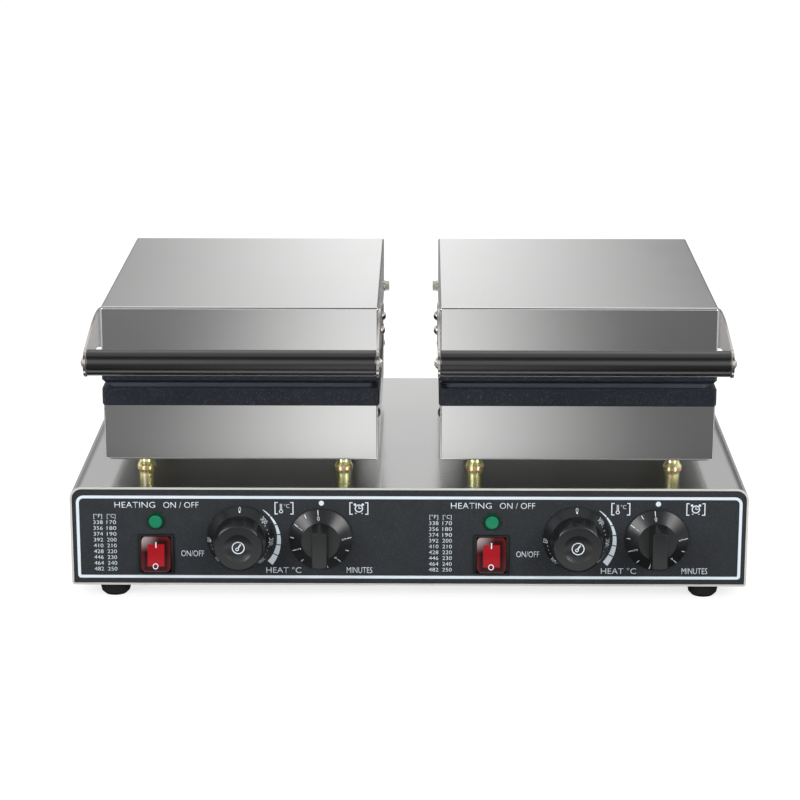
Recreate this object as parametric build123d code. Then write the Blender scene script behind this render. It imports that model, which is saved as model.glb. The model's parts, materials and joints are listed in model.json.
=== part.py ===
from build123d import *
import math
import os

# Double waffle maker: two hinged cooking heads on one control base. Millimetres.
# +Z is up, -Y is the front with the controls. The origin is on the table, at the middle of the whole outline.

# Running and assembly clearances
shaft_fit = 0.05          # radial, a shaft that turns in its hole
screw_fit = 0.15          # radial, a screw in its hole
panel_fit = 0.1           # round a panel in the opening that it closes
joint_gap = 0.3           # between faces that move past each other
bite = 1.0                # how far a solid runs into the one that it is joined to
past = 1.0                # how far a cut runs past the face that it leaves
thread_past = 2.0         # thread that shows beyond a nut

# Base case, bent from sheet
base_side_margin = 24.25  # base beyond the lid's side
base_rear_margin = 48.0   # base behind the heads
base_height = 75.5
base_sheet = 1.5
base_top_bend = 9.0       # outer radius of the long bends beside the top
base_low_bend = 2.2
least_bend = 0.4
base_lip = 40.0           # strip left round the open underside, wide enough for the feet
bottom_sheet = 1.2
bottom_inset = 4.0
vent_width = 4.0
vent_length = 46.0
vent_pitch = 11.0
bottom_vents = 7
rear_vents = 8

# Feet
foot_height = 10.2
foot_top_radius = 11.8
foot_sole_radius = 10.6
foot_side_inset = 30.3
foot_end_inset = 17.5
foot_screw_radius = 2.0
foot_head_radius = 4.2
foot_head_height = 2.4
foot_recess_depth = 4.0
foot_sole_round = 2.4
foot_flange = 1.4
foot_nut_across = 7.0
foot_nut_height = 3.2

# Panels that close the two ends of the base
panel_sheet = 2.0
panel_recess = 0.4
panel_flange = 11.0

# Cooking heads
head_gap = 44.5           # between the two lids
head_set_back = 20.0      # lid front behind the base front
post_height = 15.5
lid_width = 203.5
case_inset = 0.5          # side of the lower case inside the side of the lid
head_depth = 252.0
head_sheet = 1.2
head_bend = 1.6
wire_hole_radius = 8.0
lower_case_height = 41.8
lid_height = 44.1
seam_height = 3.7         # between the rims of the two cast plates
rear_deck_depth = 39.0    # closed strip behind the cast plates
deck_side_gap = 6.5

# Stand-off posts
post_radius = 5.35
post_foot_radius = 7.1
post_foot_rim = 1.2
post_flare_height = 3.4
post_side_inset = 26.8
post_end_inset = 36.6
post_bolt_radius = 3.0
post_nut_across = 10.0
post_nut_height = 4.0

# Cast plates
plate_overhang = 0.4      # rim beyond the lid at the front and the sides
plate_deck_gap = 3.0      # between the castings and the deck behind them
plate_rim = 13.2
plate_edge_chamfer = 2.4
plate_back_chamfer = 0.8    # along the edges that meet sheet
plate_corner = 3.0
seal_inset = 4.0          # raised seal frame, in from the rim
seal_corner = 7.0
seal_wall = 6.0
boss_inset = 7.0          # the part of the casting that sits inside the case
boss_depth = 12.0
lower_floor = 5.5         # metal under the tray, above the rim's underside
upper_floor = 4.5
tray_corner = 4.0
stud_rows = 5             # in each quarter of the tray
stud_base = 11.0
stud_taper = 12.0
stud_clear = 5.8          # from the stud tops to the seal face
rib_width = 5.0
lug_length = 64.0
lug_width = 11.5
lug_height = 13.5

# Tubular heating elements, pressed into the castings
heater_radius = 4.0
heater_legs = 4
heater_side_inset = 36.0
heater_bend = 18.0
heater_end_gap = 27.0
heater_tail = 9.0
heater_pin_radius = 1.6
heater_pin_length = 8.0
clamp_width = 16.0
clamp_sheet = 3.0
clamp_overhang = 14.0
clamp_at = (0.3, 0.7)     # shares of the casting's depth
clamp_stud_radius = 2.5
clamp_stud_bite = 7.0

# Lid insulation
pad_thickness = 14.0
pad_inset = 9.0

# Hinge
pivot_end_inset = 17.0    # ahead of the lid's rear
pivot_above_lid_edge = 7.8
pivot_radius = 2.0
pivot_head_across = 7.0
pivot_head_height = 3.2
pivot_nut_height = 3.2
pivot_washer_radius = 4.5
pivot_washer = 1.0
bracket_sheet = 3.0
bracket_half_width = 8.0
bracket_foot = 16.0
hinge_swing_room = 12.0   # lid side that is left round the pivot

# Handles
arm_sheet = 1.6
arm_nose_radius = 10.0
arm_tail_radius = 10.0
arm_tail_back = 76.0      # centre of the arm's tail behind the lid front
grip_reach = 81.0         # axis of the grip ahead of the lid front
grip_drop = 21.1          # axis of the grip below the lid top
arm_screw_drop = 24.0
arm_screw_pitch = 46.0
arm_shoulder_drop = 1.0   # top of the arm's bow below the lid top
arm_waist_drop = 24.5     # underside of the arm's neck below the lid top
arm_waist_reach = 30.0    # the waist and the top of the bow, ahead of the lid front
arm_shoulder_reach = 5.0
arm_nose_slope = 0.22     # rise of the arm's upper edge at its two ends
arm_tail_slope = -0.08
grip_radius = 9.2
grip_end_round = 1.2
rod_radius = 2.5
dome_radius = 3.7
dome_height = 2.7
rod_dome_radius = 4.2
arm_screw_radius = 2.0
arm_screw_bite = 8.0
drive_floor = 0.45        # share of a dome's height left under its drive socket

# Small pan screws low on the case sides
pan_radius = 3.6
pan_height = 1.6
pan_screw_radius = 2.0
pan_screw_length = 10.0
pan_front_set_back = 15.0
pan_end_inset = 22.0
pan_drop = 9.0            # below the top of the lower case
stop_below_pivot = 16.5
stop_screw_bite = 3.0

# Controls: places measured from the middle of each group and up from the base's lower edge
switch_place = (-62.9, 24.2)
lamp_place = (-62.7, 50.0)
temperature_place = (-0.4, 37.0)
timer_place = (59.0, 36.5)

# Rocker switch
bezel_width = 26.4
bezel_height = 30.6
bezel_proud = 1.8
bezel_corner = 1.2
bezel_chamfer = 0.5
switch_body_width = 23.6
switch_body_height = 29.2
switch_body_depth = 24.0
switch_well_depth = 7.5
rocker_width = 21.4
rocker_radius = 13.65     # end faces, about the rocker's pivot
rocker_proud = 4.5
rocker_dish = 1.0
rocker_back = 4.0
rocker_corner = 4.4
rocker_tilt = 11.0        # degrees each side of the middle
rocker_side_gap = 0.25
rocker_end_gap = 0.35
rocker_pin_radius = 1.2
rocker_pin_bite = 0.5
rocker_pin_room = 0.1
terminal_width = 6.3
terminal_sheet = 0.8
terminal_length = 9.0

# Indicator lamp
lens_flange_radius = 6.8
lens_flange = 1.2
lens_flange_round = 0.6
lens_radius = 4.95
lens_proud = 3.8
lens_round = 0.8
lamp_body_radius = 5.0
lamp_body_length = 22.0
lamp_nut_across = 14.0
lamp_nut_height = 3.0

# Thermostat and timer
control_body = (42.0, 30.0, 36.0)
control_neck_radius = 5.0
control_neck_proud = 6.0
control_nut_across = 13.0
control_nut_height = 2.4
control_case_round = 2.0
spindle_radius = 3.0
spindle_proud = 20.0
spindle_bite = 12.0
spindle_flat = 0.8
spindle_end_room = 0.5    # beyond each end of a spindle
knob_air = 1.0            # between the panel and a knob's skirt

# Temperature knob
temp_skirt_radius = 24.6
temp_skirt_front_radius = 19.4
temp_skirt_height = 7.8
temp_skirt_edge = 0.8
temp_grip_radius = 19.3
temp_ring_height = 2.5
temp_grip_front_radius = 18.3
temp_knob_height = 26.5
temp_scallops = 6
temp_scallop_radius = 8.0
temp_scallop_depth = 2.4
temp_dish_radius = 10.6
temp_dish_depth = 2.2
temp_front_round = 2.4

# Timer knob
timer_skirt_radius = 23.3
timer_skirt_front_radius = 14.1
timer_skirt_height = 6.6
timer_skirt_edge = 1.2
timer_knob_height = 31.0
timer_bar_width = 12.0
timer_bar_taper = 1.0
timer_bar_round = 1.0
timer_hollow = 5.4
knob_wall = 2.4
knob_hollow = 7.5

# Mains terminal block and cable gland
block_size = (58.0, 22.0, 17.0)
block_ways = 5
block_hole_radius = 1.8
block_hole_inset = 6.6
block_hole_depth = 6.8
block_groove_width = 1.2
block_groove_depth = 5.1
block_set_back = 60.0     # ahead of the rear panel
gland_height = 30.0       # up from the base's lower edge
gland_side = 0.0
gland_bore_radius = 4.5
gland_thread_radius = 10.0
gland_across = 24.0
gland_collar = 5.0
gland_cap_radius = 11.0
gland_cap_length = 12.0
gland_cap_round = 2.5
gland_nut_height = 5.0
gland_inner_length = 11.0

# Heights that follow
base_bottom = foot_height + bottom_sheet
base_top = base_bottom + base_height
case_bottom = base_top + post_height
case_top = case_bottom + lower_case_height
seal_face = case_top + plate_rim + seam_height
lower_rim_top = case_top + plate_rim
lid_bottom = seal_face + plate_rim
lid_top = lid_bottom + lid_height
pivot_height = lid_bottom + pivot_above_lid_edge
grip_height = lid_top - grip_drop
arm_screw_height = lid_top - arm_screw_drop

# Depths that follow: the whole outline runs from the arms' noses to the cable gland
base_depth = head_set_back + head_depth + base_rear_margin
plate_front = -plate_overhang
plate_rear = head_depth - rear_deck_depth - plate_deck_gap
plate_depth = plate_rear - plate_front
pivot_set_back = head_depth - pivot_end_inset
pan_rear_set_back = head_depth - pan_end_inset
front_reach = grip_reach + arm_nose_radius - head_set_back
rear_reach = gland_collar + gland_cap_length - panel_recess
whole_depth = front_reach + base_depth + rear_reach
base_front = front_reach - whole_depth / 2
base_rear = base_front + base_depth
head_front = base_front + head_set_back
panel_face = base_front + panel_recess
rear_face = base_rear - panel_recess
inner_floor = base_bottom + base_sheet
bottom_window = base_sheet + base_lip

# Widths that follow
head_pitch = lid_width + head_gap
control_pitch = head_pitch
base_width = head_pitch + lid_width + 2 * base_side_margin
case_width = lid_width - 2 * case_inset
plate_width = lid_width + 2 * plate_overhang
post_side = case_width / 2 - post_side_inset
heater_half = plate_width / 2 - heater_side_inset
heater_pitch = 2 * heater_half / (heater_legs - 1)
case_inner = case_width / 2 - head_sheet
lid_inner = lid_width / 2 - head_sheet
inner_bend = head_bend - head_sheet
boss_side = plate_width / 2 - boss_inset
switch_well = rocker_radius + rocker_end_gap
SIDES = {"left": -1, "right": 1}


def block(x0, x1, y0, y1, z0, z1):
    """A box between two corners."""
    return Pos(x0, y0, z0) * Box(x1 - x0, y1 - y0, z1 - z0, align=(Align.MIN,) * 3)


def upright(radius, z0, z1, x=0.0, y=0.0):
    """A round bar along Z."""
    low = (Align.CENTER, Align.CENTER, Align.MIN)
    return Pos(x, y, z0) * Cylinder(radius, z1 - z0, align=low)


def along_x(radius, x0, x1, y, z):
    """A round bar along X."""
    low = (Align.CENTER, Align.CENTER, Align.MIN)
    return Pos(x0, y, z) * Rot(0, 90, 0) * Cylinder(radius, x1 - x0, align=low)


def along_y(radius, y0, y1, x, z):
    """A round bar along Y."""
    low = (Align.CENTER, Align.CENTER, Align.MIN)
    return Pos(x, y0, z) * Rot(-90, 0, 0) * Cylinder(radius, y1 - y0, align=low)


def hex_bar(across, length):
    """A hexagonal bar that rises along Z."""
    return extrude(RegularPolygon(across / 2, 6, major_radius=False), length)


def turned(points):
    """A solid turned about Z from an outline of (radius, height) points."""
    return revolve(Plane.XZ * make_face(Polyline(*points, close=True)), Axis.Z)


def facing_front(part, x, y, z):
    """Turns a part made along +Z so that it points to the front, and sets it on the panel."""
    return Pos(x, y, z) * Rot(90, 0, 0) * part


def dome_screw(radius, height, shank_radius, shank_length, drive_radius):
    """A dome-head screw: the head rises along +Z from z = 0 and the shank goes down."""
    ball = (radius ** 2 + height ** 2) / (2 * height)
    head = Pos(0, 0, height - ball) * Sphere(ball) & upright(radius, 0, height)
    shank = upright(shank_radius, -shank_length, 0)
    socket = Pos(0, 0, height * drive_floor) * hex_bar(drive_radius, height)
    return head + shank - socket


def sideways(part, side, x, y, z):
    """Turns a part made along +Z so that it points away from the head's middle, on the given side."""
    return Pos(side * x, y, z) * Rot(0, 90 * side, 0) * part


def join(parts):
    """One solid from overlapping solids."""
    first, *rest = parts
    return first + rest


def group(parts):
    """Separate solids kept together in one node."""
    return Compound(children=list(parts))


def place_head(part, side):
    """Moves a part from a head's own frame, with its front at y = 0, to its place on the base."""
    return Pos(side * head_pitch / 2, head_front, 0) * part


def both_heads(make):
    """The same pieces on both heads, as one flat list."""
    return [place_head(part, side) for side in SIDES.values() for part in make()]


# Base case and its panels
def base_outline(shrink):
    """Front view of the base case, drawn in from its outer face by shrink."""
    face = Rectangle(base_width - 2 * shrink, base_height - 2 * shrink)
    high = face.vertices().group_by(Axis.Y)[-1]
    face = fillet(high, base_top_bend - shrink)
    low = face.vertices().group_by(Axis.Y)[0]
    return fillet(low, max(base_low_bend - shrink, least_bend))


def base_slab(shrink, y0, y1):
    """The base outline made solid between two depths."""
    face = Plane.XZ * Pos(0, base_bottom + base_height / 2) * base_outline(shrink)
    return Pos(0, y1, 0) * extrude(face, amount=y1 - y0)


def post_places():
    """Centres of a head's four posts, in the head's own frame."""
    ends = (post_end_inset, head_depth - post_end_inset)
    return [(x, y) for x in (-post_side, post_side) for y in ends]


def at_posts(part):
    """A copy of a part at each post of a head."""
    return [Pos(x, y, 0) * part for x, y in post_places()]


def wire_hole(z0, z1):
    """The hole through which a head's wires leave the base."""
    return upright(wire_hole_radius, z0, z1, 0, head_depth / 2)


def base_shell():
    shell = base_slab(0, base_front, base_rear)
    shell -= base_slab(base_sheet, base_front - past, base_rear + past)
    half = base_width / 2 - bottom_window
    window_front = base_front + bottom_window
    window_rear = base_rear - bottom_window
    shell -= block(-half, half, window_front, window_rear, base_bottom - past, inner_floor + past)
    under = base_top - base_sheet - past
    holes = []
    for side in SIDES.values():
        for x, y in post_places():
            hole = upright(post_bolt_radius + screw_fit, under, base_top + past, x, y)
            holes.append(place_head(hole, side))
        holes.append(place_head(wire_hole(under, base_top + past), side))
    holes += [upright(foot_screw_radius + screw_fit, base_bottom - past, inner_floor + past, x, y)
              for x, y in foot_places()]
    return shell - holes


def foot_places():
    ends = (base_front + foot_end_inset, base_rear - foot_end_inset)
    reach = base_width / 2 - foot_side_inset
    return [(x, y) for x in (-reach, reach) for y in ends]


def slot_row(count, pitch, make_slot):
    """A centred row of vent slots."""
    return [make_slot((i - (count - 1) / 2) * pitch) for i in range(count)]


def base_bottom_plate():
    half = base_width / 2 - bottom_inset
    front = base_front + bottom_inset
    rear = base_rear - bottom_inset
    plate = block(-half, half, front, rear, foot_height, base_bottom)
    cuts = [upright(foot_screw_radius + screw_fit, 0, base_bottom + past, x, y) for x, y in foot_places()]
    middle = (base_front + base_rear) / 2
    for side in SIDES.values():
        centre = side * head_pitch / 2

        def slot(offset):
            front = middle + offset - vent_width / 2
            return block(centre - vent_length / 2, centre + vent_length / 2, front, front + vent_width,
                         foot_height - past, base_bottom + past)

        cuts += slot_row(bottom_vents, vent_pitch, slot)
    return plate - cuts


def end_panel(y_out, inward):
    """A panel that closes one end of the base case, with a flange turned inwards along its foot."""
    y0, y1 = sorted((y_out, y_out + inward * panel_sheet))
    plate = base_slab(base_sheet + panel_fit, y0, y1)
    f0, f1 = sorted((y_out, y_out + inward * (panel_sheet + panel_flange)))
    half = base_width / 2 - base_sheet - base_top_bend
    low = inner_floor + panel_fit
    return plate + block(-half, half, f0, f1, low, low + panel_sheet)


def control_at(place, side):
    """A control's place on the panel, as x and z."""
    return side * control_pitch / 2 + place[0], base_bottom + place[1]


def control_panel():
    panel = end_panel(panel_face, 1)
    front = panel_face - past
    back = panel_face + panel_sheet + past
    cuts = []
    for side in SIDES.values():
        x, z = control_at(switch_place, side)
        half_x = switch_body_width / 2 + panel_fit
        half_z = switch_body_height / 2 + panel_fit
        cuts.append(block(x - half_x, x + half_x, front, back, z - half_z, z + half_z))
        x, z = control_at(lamp_place, side)
        cuts.append(along_y(lamp_body_radius + screw_fit, front, back, x, z))
        for place in (temperature_place, timer_place):
            x, z = control_at(place, side)
            cuts.append(along_y(control_neck_radius + screw_fit, front, back, x, z))
    return panel - cuts


def rear_panel():
    panel = end_panel(rear_face, -1)
    inside = rear_face - panel_sheet - past
    outside = rear_face + past
    gland_z = base_bottom + gland_height
    cuts = [along_y(gland_thread_radius + screw_fit, inside, outside, gland_side, gland_z)]
    middle = base_bottom + base_height / 2
    for side in SIDES.values():
        centre = side * head_pitch / 2

        def slot(offset):
            left = centre + offset - vent_width / 2
            return block(left, left + vent_width, inside, outside,
                         middle - vent_length / 2, middle + vent_length / 2)

        cuts += slot_row(rear_vents, vent_pitch, slot)
    return panel - cuts


def rubber_foot():
    outline = [(0, 0), (foot_sole_radius - foot_sole_round, 0), (foot_sole_radius, foot_sole_round),
               (foot_top_radius, foot_height - foot_flange), (foot_top_radius, foot_height), (0, foot_height)]
    foot = turned(outline)
    foot -= upright(foot_head_radius + panel_fit, -past, foot_recess_depth)
    return foot - upright(foot_screw_radius + screw_fit, 0, foot_height + past)


def foot_screw():
    low = foot_recess_depth - foot_head_height
    head = upright(foot_head_radius, low, foot_recess_depth)
    shank = upright(foot_screw_radius, low, inner_floor + foot_nut_height + thread_past)
    nut = Pos(0, 0, inner_floor) * hex_bar(foot_nut_across, foot_nut_height)
    return head + shank + nut


def terminal_block():
    length, width, height = block_size
    rear = rear_face - block_set_back
    body = block(-length / 2, length / 2, rear - width, rear, base_bottom, base_bottom + height)
    step = length / block_ways
    top = base_bottom + height
    wells = []
    for i in range(block_ways):
        x = -length / 2 + step * (i + 0.5)
        for y in (rear - block_hole_inset, rear - width + block_hole_inset):
            wells.append(upright(block_hole_radius, top - block_hole_depth, top + past, x, y))
    grooves = []
    for i in range(1, block_ways):
        x = -length / 2 + step * i
        grooves.append(block(x - block_groove_width / 2, x + block_groove_width / 2, rear - width - past,
                             rear + past, top - block_groove_depth, top + past))
    return body - wells - grooves


def cable_gland():
    z = base_bottom + gland_height
    inside = rear_face - panel_sheet
    body = along_y(gland_thread_radius, inside - gland_inner_length, rear_face + gland_collar, gland_side, z)
    collar = Pos(gland_side, rear_face, z) * Rot(-90, 0, 0) * hex_bar(gland_across, gland_collar)
    start = rear_face + gland_collar
    cap = along_y(gland_cap_radius, start, start + gland_cap_length, gland_side, z)
    cap = fillet(cap.edges().group_by(Axis.Y)[-1], gland_cap_round)
    nut = Pos(gland_side, inside, z) * Rot(90, 0, 0) * hex_bar(gland_across, gland_nut_height)
    bore = along_y(gland_bore_radius, inside - gland_inner_length - past, start + gland_cap_length + past,
                   gland_side, z)
    return join([body, collar, cap, nut]) - bore


# Posts between the base and the heads
def stand_off_post():
    flare = base_top + post_foot_rim
    outline = [(0, base_top), (post_foot_radius, base_top), (post_foot_radius, flare),
               (post_radius, flare + post_flare_height), (post_radius, case_bottom), (0, case_bottom)]
    return turned(outline) - upright(post_bolt_radius + screw_fit, base_top - past, case_bottom + past)


def post_bolt():
    under = base_top - base_sheet
    over = case_bottom + head_sheet
    head = Pos(0, 0, under - post_nut_height) * hex_bar(post_nut_across, post_nut_height)
    nut = Pos(0, 0, over) * hex_bar(post_nut_across, post_nut_height)
    shank = upright(post_bolt_radius, under - post_nut_height, over + post_nut_height + thread_past)
    return join([shank, head, nut])


# Lower half of a head, in the head's own frame
def open_box(width, depth, z0, z1, bend):
    """A box with softened bends, closed below."""
    box = block(-width / 2, width / 2, 0, depth, z0, z1)
    upright_edges = box.edges().filter_by(Axis.Z)
    box = fillet(upright_edges, bend)
    return fillet(box.edges().group_by(Axis.Z)[0], bend)


def pan_screw_places():
    """Set-back and height of the pan screws on one side of the lower case."""
    z = case_top - pan_drop
    return [(pan_front_set_back, z), (pan_rear_set_back, z)]


def lower_case():
    outer = open_box(case_width, head_depth, case_bottom, case_top, head_bend)
    inner = Pos(0, head_sheet, head_sheet) * open_box(
        case_width - 2 * head_sheet, head_depth - 2 * head_sheet, case_bottom, case_top + past, inner_bend)
    case = outer - inner
    half = case_inner - deck_side_gap
    case += block(-half, half, head_depth - rear_deck_depth, head_depth - head_sheet,
                  case_top - head_sheet, case_top)
    low = case_bottom - past
    high = case_bottom + head_sheet + past
    cuts = [upright(post_bolt_radius + screw_fit, low, high, x, y) for x, y in post_places()]
    cuts.append(wire_hole(low, high))
    for side in SIDES.values():
        x0, x1 = sorted((side * (case_inner - past), side * (case_width / 2 + past)))
        for y, z in pan_screw_places():
            cuts.append(along_x(pan_screw_radius + screw_fit, x0, x1, y, z))
    return case - cuts


def rounded_block(half_x, y0, y1, z0, z1, corner):
    """A block with its four upright edges rounded."""
    return fillet(block(-half_x, half_x, y0, y1, z0, z1).edges().filter_by(Axis.Z), corner)


def tray_bounds():
    """Half width, front and rear of the batter tray."""
    edge = seal_inset + seal_wall
    return plate_width / 2 - edge, plate_front + edge, plate_rear - edge


def waffle_studs(floor, top):
    """The studs and break ribs of a tray, from its floor to the stud tops, as one list."""
    half, front, rear = tray_bounds()
    middle = (front + rear) / 2
    low = floor - bite
    pieces = [block(-rib_width / 2, rib_width / 2, front - bite, rear + bite, low, top),
              block(-half - bite, half + bite, middle - rib_width / 2, middle + rib_width / 2, low, top)]
    step_x = (half - rib_width / 2) / stud_rows
    step_y = (rear - middle - rib_width / 2) / stud_rows
    stud = extrude(Rectangle(stud_base, stud_base), top - low, taper=stud_taper)
    for sign_x in (-1, 1):
        for sign_y in (-1, 1):
            for i in range(stud_rows):
                for j in range(stud_rows):
                    x = sign_x * (rib_width / 2 + step_x * (i + 0.5))
                    y = middle + sign_y * (rib_width / 2 + step_y * (j + 0.5))
                    pieces.append(Pos(x, y, low) * stud)
    return pieces


def heater_path(z):
    """Centre line of a heating element: long legs joined by bends, with both ends at the rear."""
    front = plate_front + heater_end_gap
    back = plate_rear - heater_end_gap
    tail = plate_rear - boss_inset + heater_tail
    points = [(-heater_half, tail, z)]
    for leg in range(heater_legs):
        x = -heater_half + heater_pitch * leg
        near, far = (back, front) if leg % 2 == 0 else (front, back)
        if leg > 0:
            points.append((x, near, z))
        if leg < heater_legs - 1:
            points.append((x, far, z))
    points.append((heater_half, tail, z))
    return FilletPolyline(*points, radius=heater_bend)


def heater(z, radius):
    path = heater_path(z)
    return sweep(Plane(path @ 0, z_dir=path % 0) * Circle(radius), path)


def heater_with_pins(z):
    tail = plate_rear - boss_inset + heater_tail
    pins = [along_y(heater_pin_radius, tail - bite, tail + heater_pin_length, x, z)
            for x in (-heater_half, heater_half)]
    return heater(z, heater_radius) + pins


def clamp_bars(face, away):
    """Clamp bars with their studs. The casting's face is at height face and the bars lie on its away side."""
    reach = heater_half + clamp_overhang
    near = face + away * (heater_radius + shaft_fit)
    far = near + away * clamp_sheet
    bars = []
    for share in clamp_at:
        y = plate_front + share * plate_depth
        z0, z1 = sorted((near, far))
        bar = block(-reach, reach, y - clamp_width / 2, y + clamp_width / 2, z0, z1)
        s0, s1 = sorted((near + away * bite, face - away * clamp_stud_bite))
        studs = [upright(clamp_stud_radius, s0, s1, x, y) for x in (-heater_pitch, 0, heater_pitch)]
        bars.append(bar + studs)
    return bars


def stud_holes(face, away):
    """Holes in the casting for the clamp studs."""
    h0, h1 = sorted((face + away * past, face - away * (clamp_stud_bite + joint_gap)))
    radius = clamp_stud_radius + screw_fit
    return [upright(radius, h0, h1, x, plate_front + share * plate_depth)
            for share in clamp_at for x in (-heater_pitch, 0, heater_pitch)]


def plate_rim_block(z0, z1, chamfer_low, chamfer_high):
    """The heavy rim of a casting, rounded at its corners and chamfered along one or both faces."""
    rim = rounded_block(plate_width / 2, plate_front, plate_rear, z0, z1, plate_corner)
    if chamfer_low:
        rim = chamfer(rim.edges().group_by(Axis.Z)[0], chamfer_low)
    if chamfer_high:
        rim = chamfer(rim.edges().group_by(Axis.Z)[-1], chamfer_high)
    return rim


def lower_plate():
    rim = plate_rim_block(case_top, lower_rim_top, plate_back_chamfer, plate_back_chamfer)
    boss = block(-boss_side, boss_side, plate_front + boss_inset, plate_rear - boss_inset,
                 case_top - boss_depth, case_top + bite)
    seal = rounded_block(plate_width / 2 - seal_inset, plate_front + seal_inset, plate_rear - seal_inset,
                         lower_rim_top - bite, seal_face - joint_gap, seal_corner)
    half, front, rear = tray_bounds()
    floor = case_top + lower_floor
    tray = rounded_block(half, front, rear, floor, seal_face + past, tray_corner)
    plate = join([rim, boss, seal]) - tray
    plate = plate + waffle_studs(floor, seal_face - joint_gap - stud_clear)
    face = case_top - boss_depth
    plate -= heater(face, heater_radius + shaft_fit)
    cuts = stud_holes(face, -1)
    for side in SIDES.values():
        x0, x1 = sorted((side * (boss_side - pan_screw_length), side * (boss_side + past)))
        cuts.append(along_x(pan_screw_radius + screw_fit, x0, x1, pan_front_set_back, case_top - pan_drop))
    return plate - cuts


def arm_screw_set_backs():
    return (arm_tail_back - arm_screw_pitch, arm_tail_back)


def arm_screw_holes(x0, x1):
    return [along_x(arm_screw_radius + screw_fit, x0, x1, y, arm_screw_height) for y in arm_screw_set_backs()]


def upper_plate():
    rim = plate_rim_block(seal_face, lid_bottom, plate_edge_chamfer, plate_back_chamfer)
    boss_top = lid_bottom + boss_depth
    boss = block(-boss_side, boss_side, plate_front + boss_inset, plate_rear - boss_inset, lid_bottom - bite,
                 boss_top)
    middle = sum(arm_screw_set_backs()) / 2
    lugs = []
    for side in SIDES.values():
        outer = lid_inner - joint_gap
        x0, x1 = sorted((side * (outer - lug_width), side * outer))
        lugs.append(block(x0, x1, middle - lug_length / 2, middle + lug_length / 2,
                          lid_bottom + joint_gap, boss_top + lug_height))
    half, front, rear = tray_bounds()
    floor = lid_bottom - upper_floor
    tray = rounded_block(half, front, rear, seal_face - past, floor, tray_corner)
    plate = join([rim, boss] + lugs) - tray
    studs = waffle_studs(0, floor - seal_face - stud_clear)
    plate = plate + [Pos(0, 0, floor) * mirror(stud, about=Plane.XY) for stud in studs]
    plate -= heater(boss_top, heater_radius + shaft_fit)
    cuts = stud_holes(boss_top, 1)
    for side in SIDES.values():
        deep = lid_inner - joint_gap - arm_screw_bite - thread_past
        x0, x1 = sorted((side * deep, side * (lid_inner + past)))
        cuts += arm_screw_holes(x0, x1)
    return plate - cuts


def lower_heater():
    return heater_with_pins(case_top - boss_depth)


def upper_heater():
    return heater_with_pins(lid_bottom + boss_depth)


def lower_heater_clamps():
    return clamp_bars(case_top - boss_depth, -1)


def upper_heater_clamps():
    return clamp_bars(lid_bottom + boss_depth, 1)


# Hinge
def hinge_brackets():
    brackets = []
    for side in SIDES.values():
        outer = case_inner
        x0, x1 = sorted((side * (outer - bracket_sheet), side * outer))
        low = case_bottom + head_sheet
        y0, y1 = pivot_set_back - bracket_half_width, pivot_set_back + bracket_half_width
        stem = block(x0, x1, y0, y1, low + inner_bend, pivot_height)
        eye = along_x(bracket_half_width, x0, x1, pivot_set_back, pivot_height)
        f0, f1 = sorted((side * (outer - bracket_foot), side * (outer - inner_bend)))
        foot = block(f0, f1, y0, y1, low, low + bracket_sheet)
        bracket = join([stem, eye, foot])
        bracket -= along_x(pivot_radius + screw_fit, x0 - past, x1 + past, pivot_set_back, pivot_height)
        for y, z in bracket_screw_places():
            bracket -= along_x(pan_screw_radius + screw_fit, x0 - past, x1 + past, y, z)
        brackets.append(bracket)
    return brackets


def bracket_screw_places():
    """The pan screw through the case side, and the lid's stop screw below the pivot."""
    return [(pan_rear_set_back, case_top - pan_drop), (pan_rear_set_back, pivot_height - stop_below_pivot)]


def pivot_bolts():
    bolts = []
    for side in SIDES.values():
        washer_at = lid_width / 2 + joint_gap
        stack = upright(pivot_washer_radius, 0, pivot_washer)
        stack += Pos(0, 0, pivot_washer) * hex_bar(pivot_head_across, pivot_head_height)
        inner = case_inner - bracket_sheet
        shank = upright(pivot_radius, inner - washer_at - pivot_nut_height - thread_past, bite)
        nut = Pos(0, 0, inner - washer_at - pivot_nut_height) * hex_bar(pivot_head_across, pivot_nut_height)
        bolts.append(sideways(join([stack, shank, nut]), side, washer_at, pivot_set_back, pivot_height))
    return bolts


def case_screws():
    """Pan screws on the lower case, and the stop screws on the hinge brackets."""
    screws = []
    for side in SIDES.values():
        for y, z in pan_screw_places():
            screw = dome_screw(pan_radius, pan_height, pan_screw_radius, pan_screw_length, pan_screw_radius)
            screws.append(sideways(screw, side, case_width / 2, y, z))
        length = bracket_sheet + stop_screw_bite
        screw = dome_screw(pan_radius, pan_height, pan_screw_radius, length, pan_screw_radius)
        y, z = bracket_screw_places()[1]
        screws.append(sideways(screw, side, case_inner, y, z))
    return screws


# Lid of a head, in the head's own frame
def hinge_notch(side):
    """Room round the hinge bracket at a rear corner of the lid, cut low beside and behind the pivot."""
    x0, x1 = sorted((side * (case_inner - deck_side_gap), side * (lid_width / 2 + past)))
    behind = pivot_set_back + hinge_swing_room
    low = lid_bottom - past
    corner = block(x0, x1, behind, head_depth + past, low, pivot_height + hinge_swing_room)
    quarter = block(x0, x1, pivot_set_back, behind + bite, low, pivot_height)
    return corner + (quarter - along_x(hinge_swing_room, x0 - past, x1 + past, pivot_set_back, pivot_height))


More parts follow.
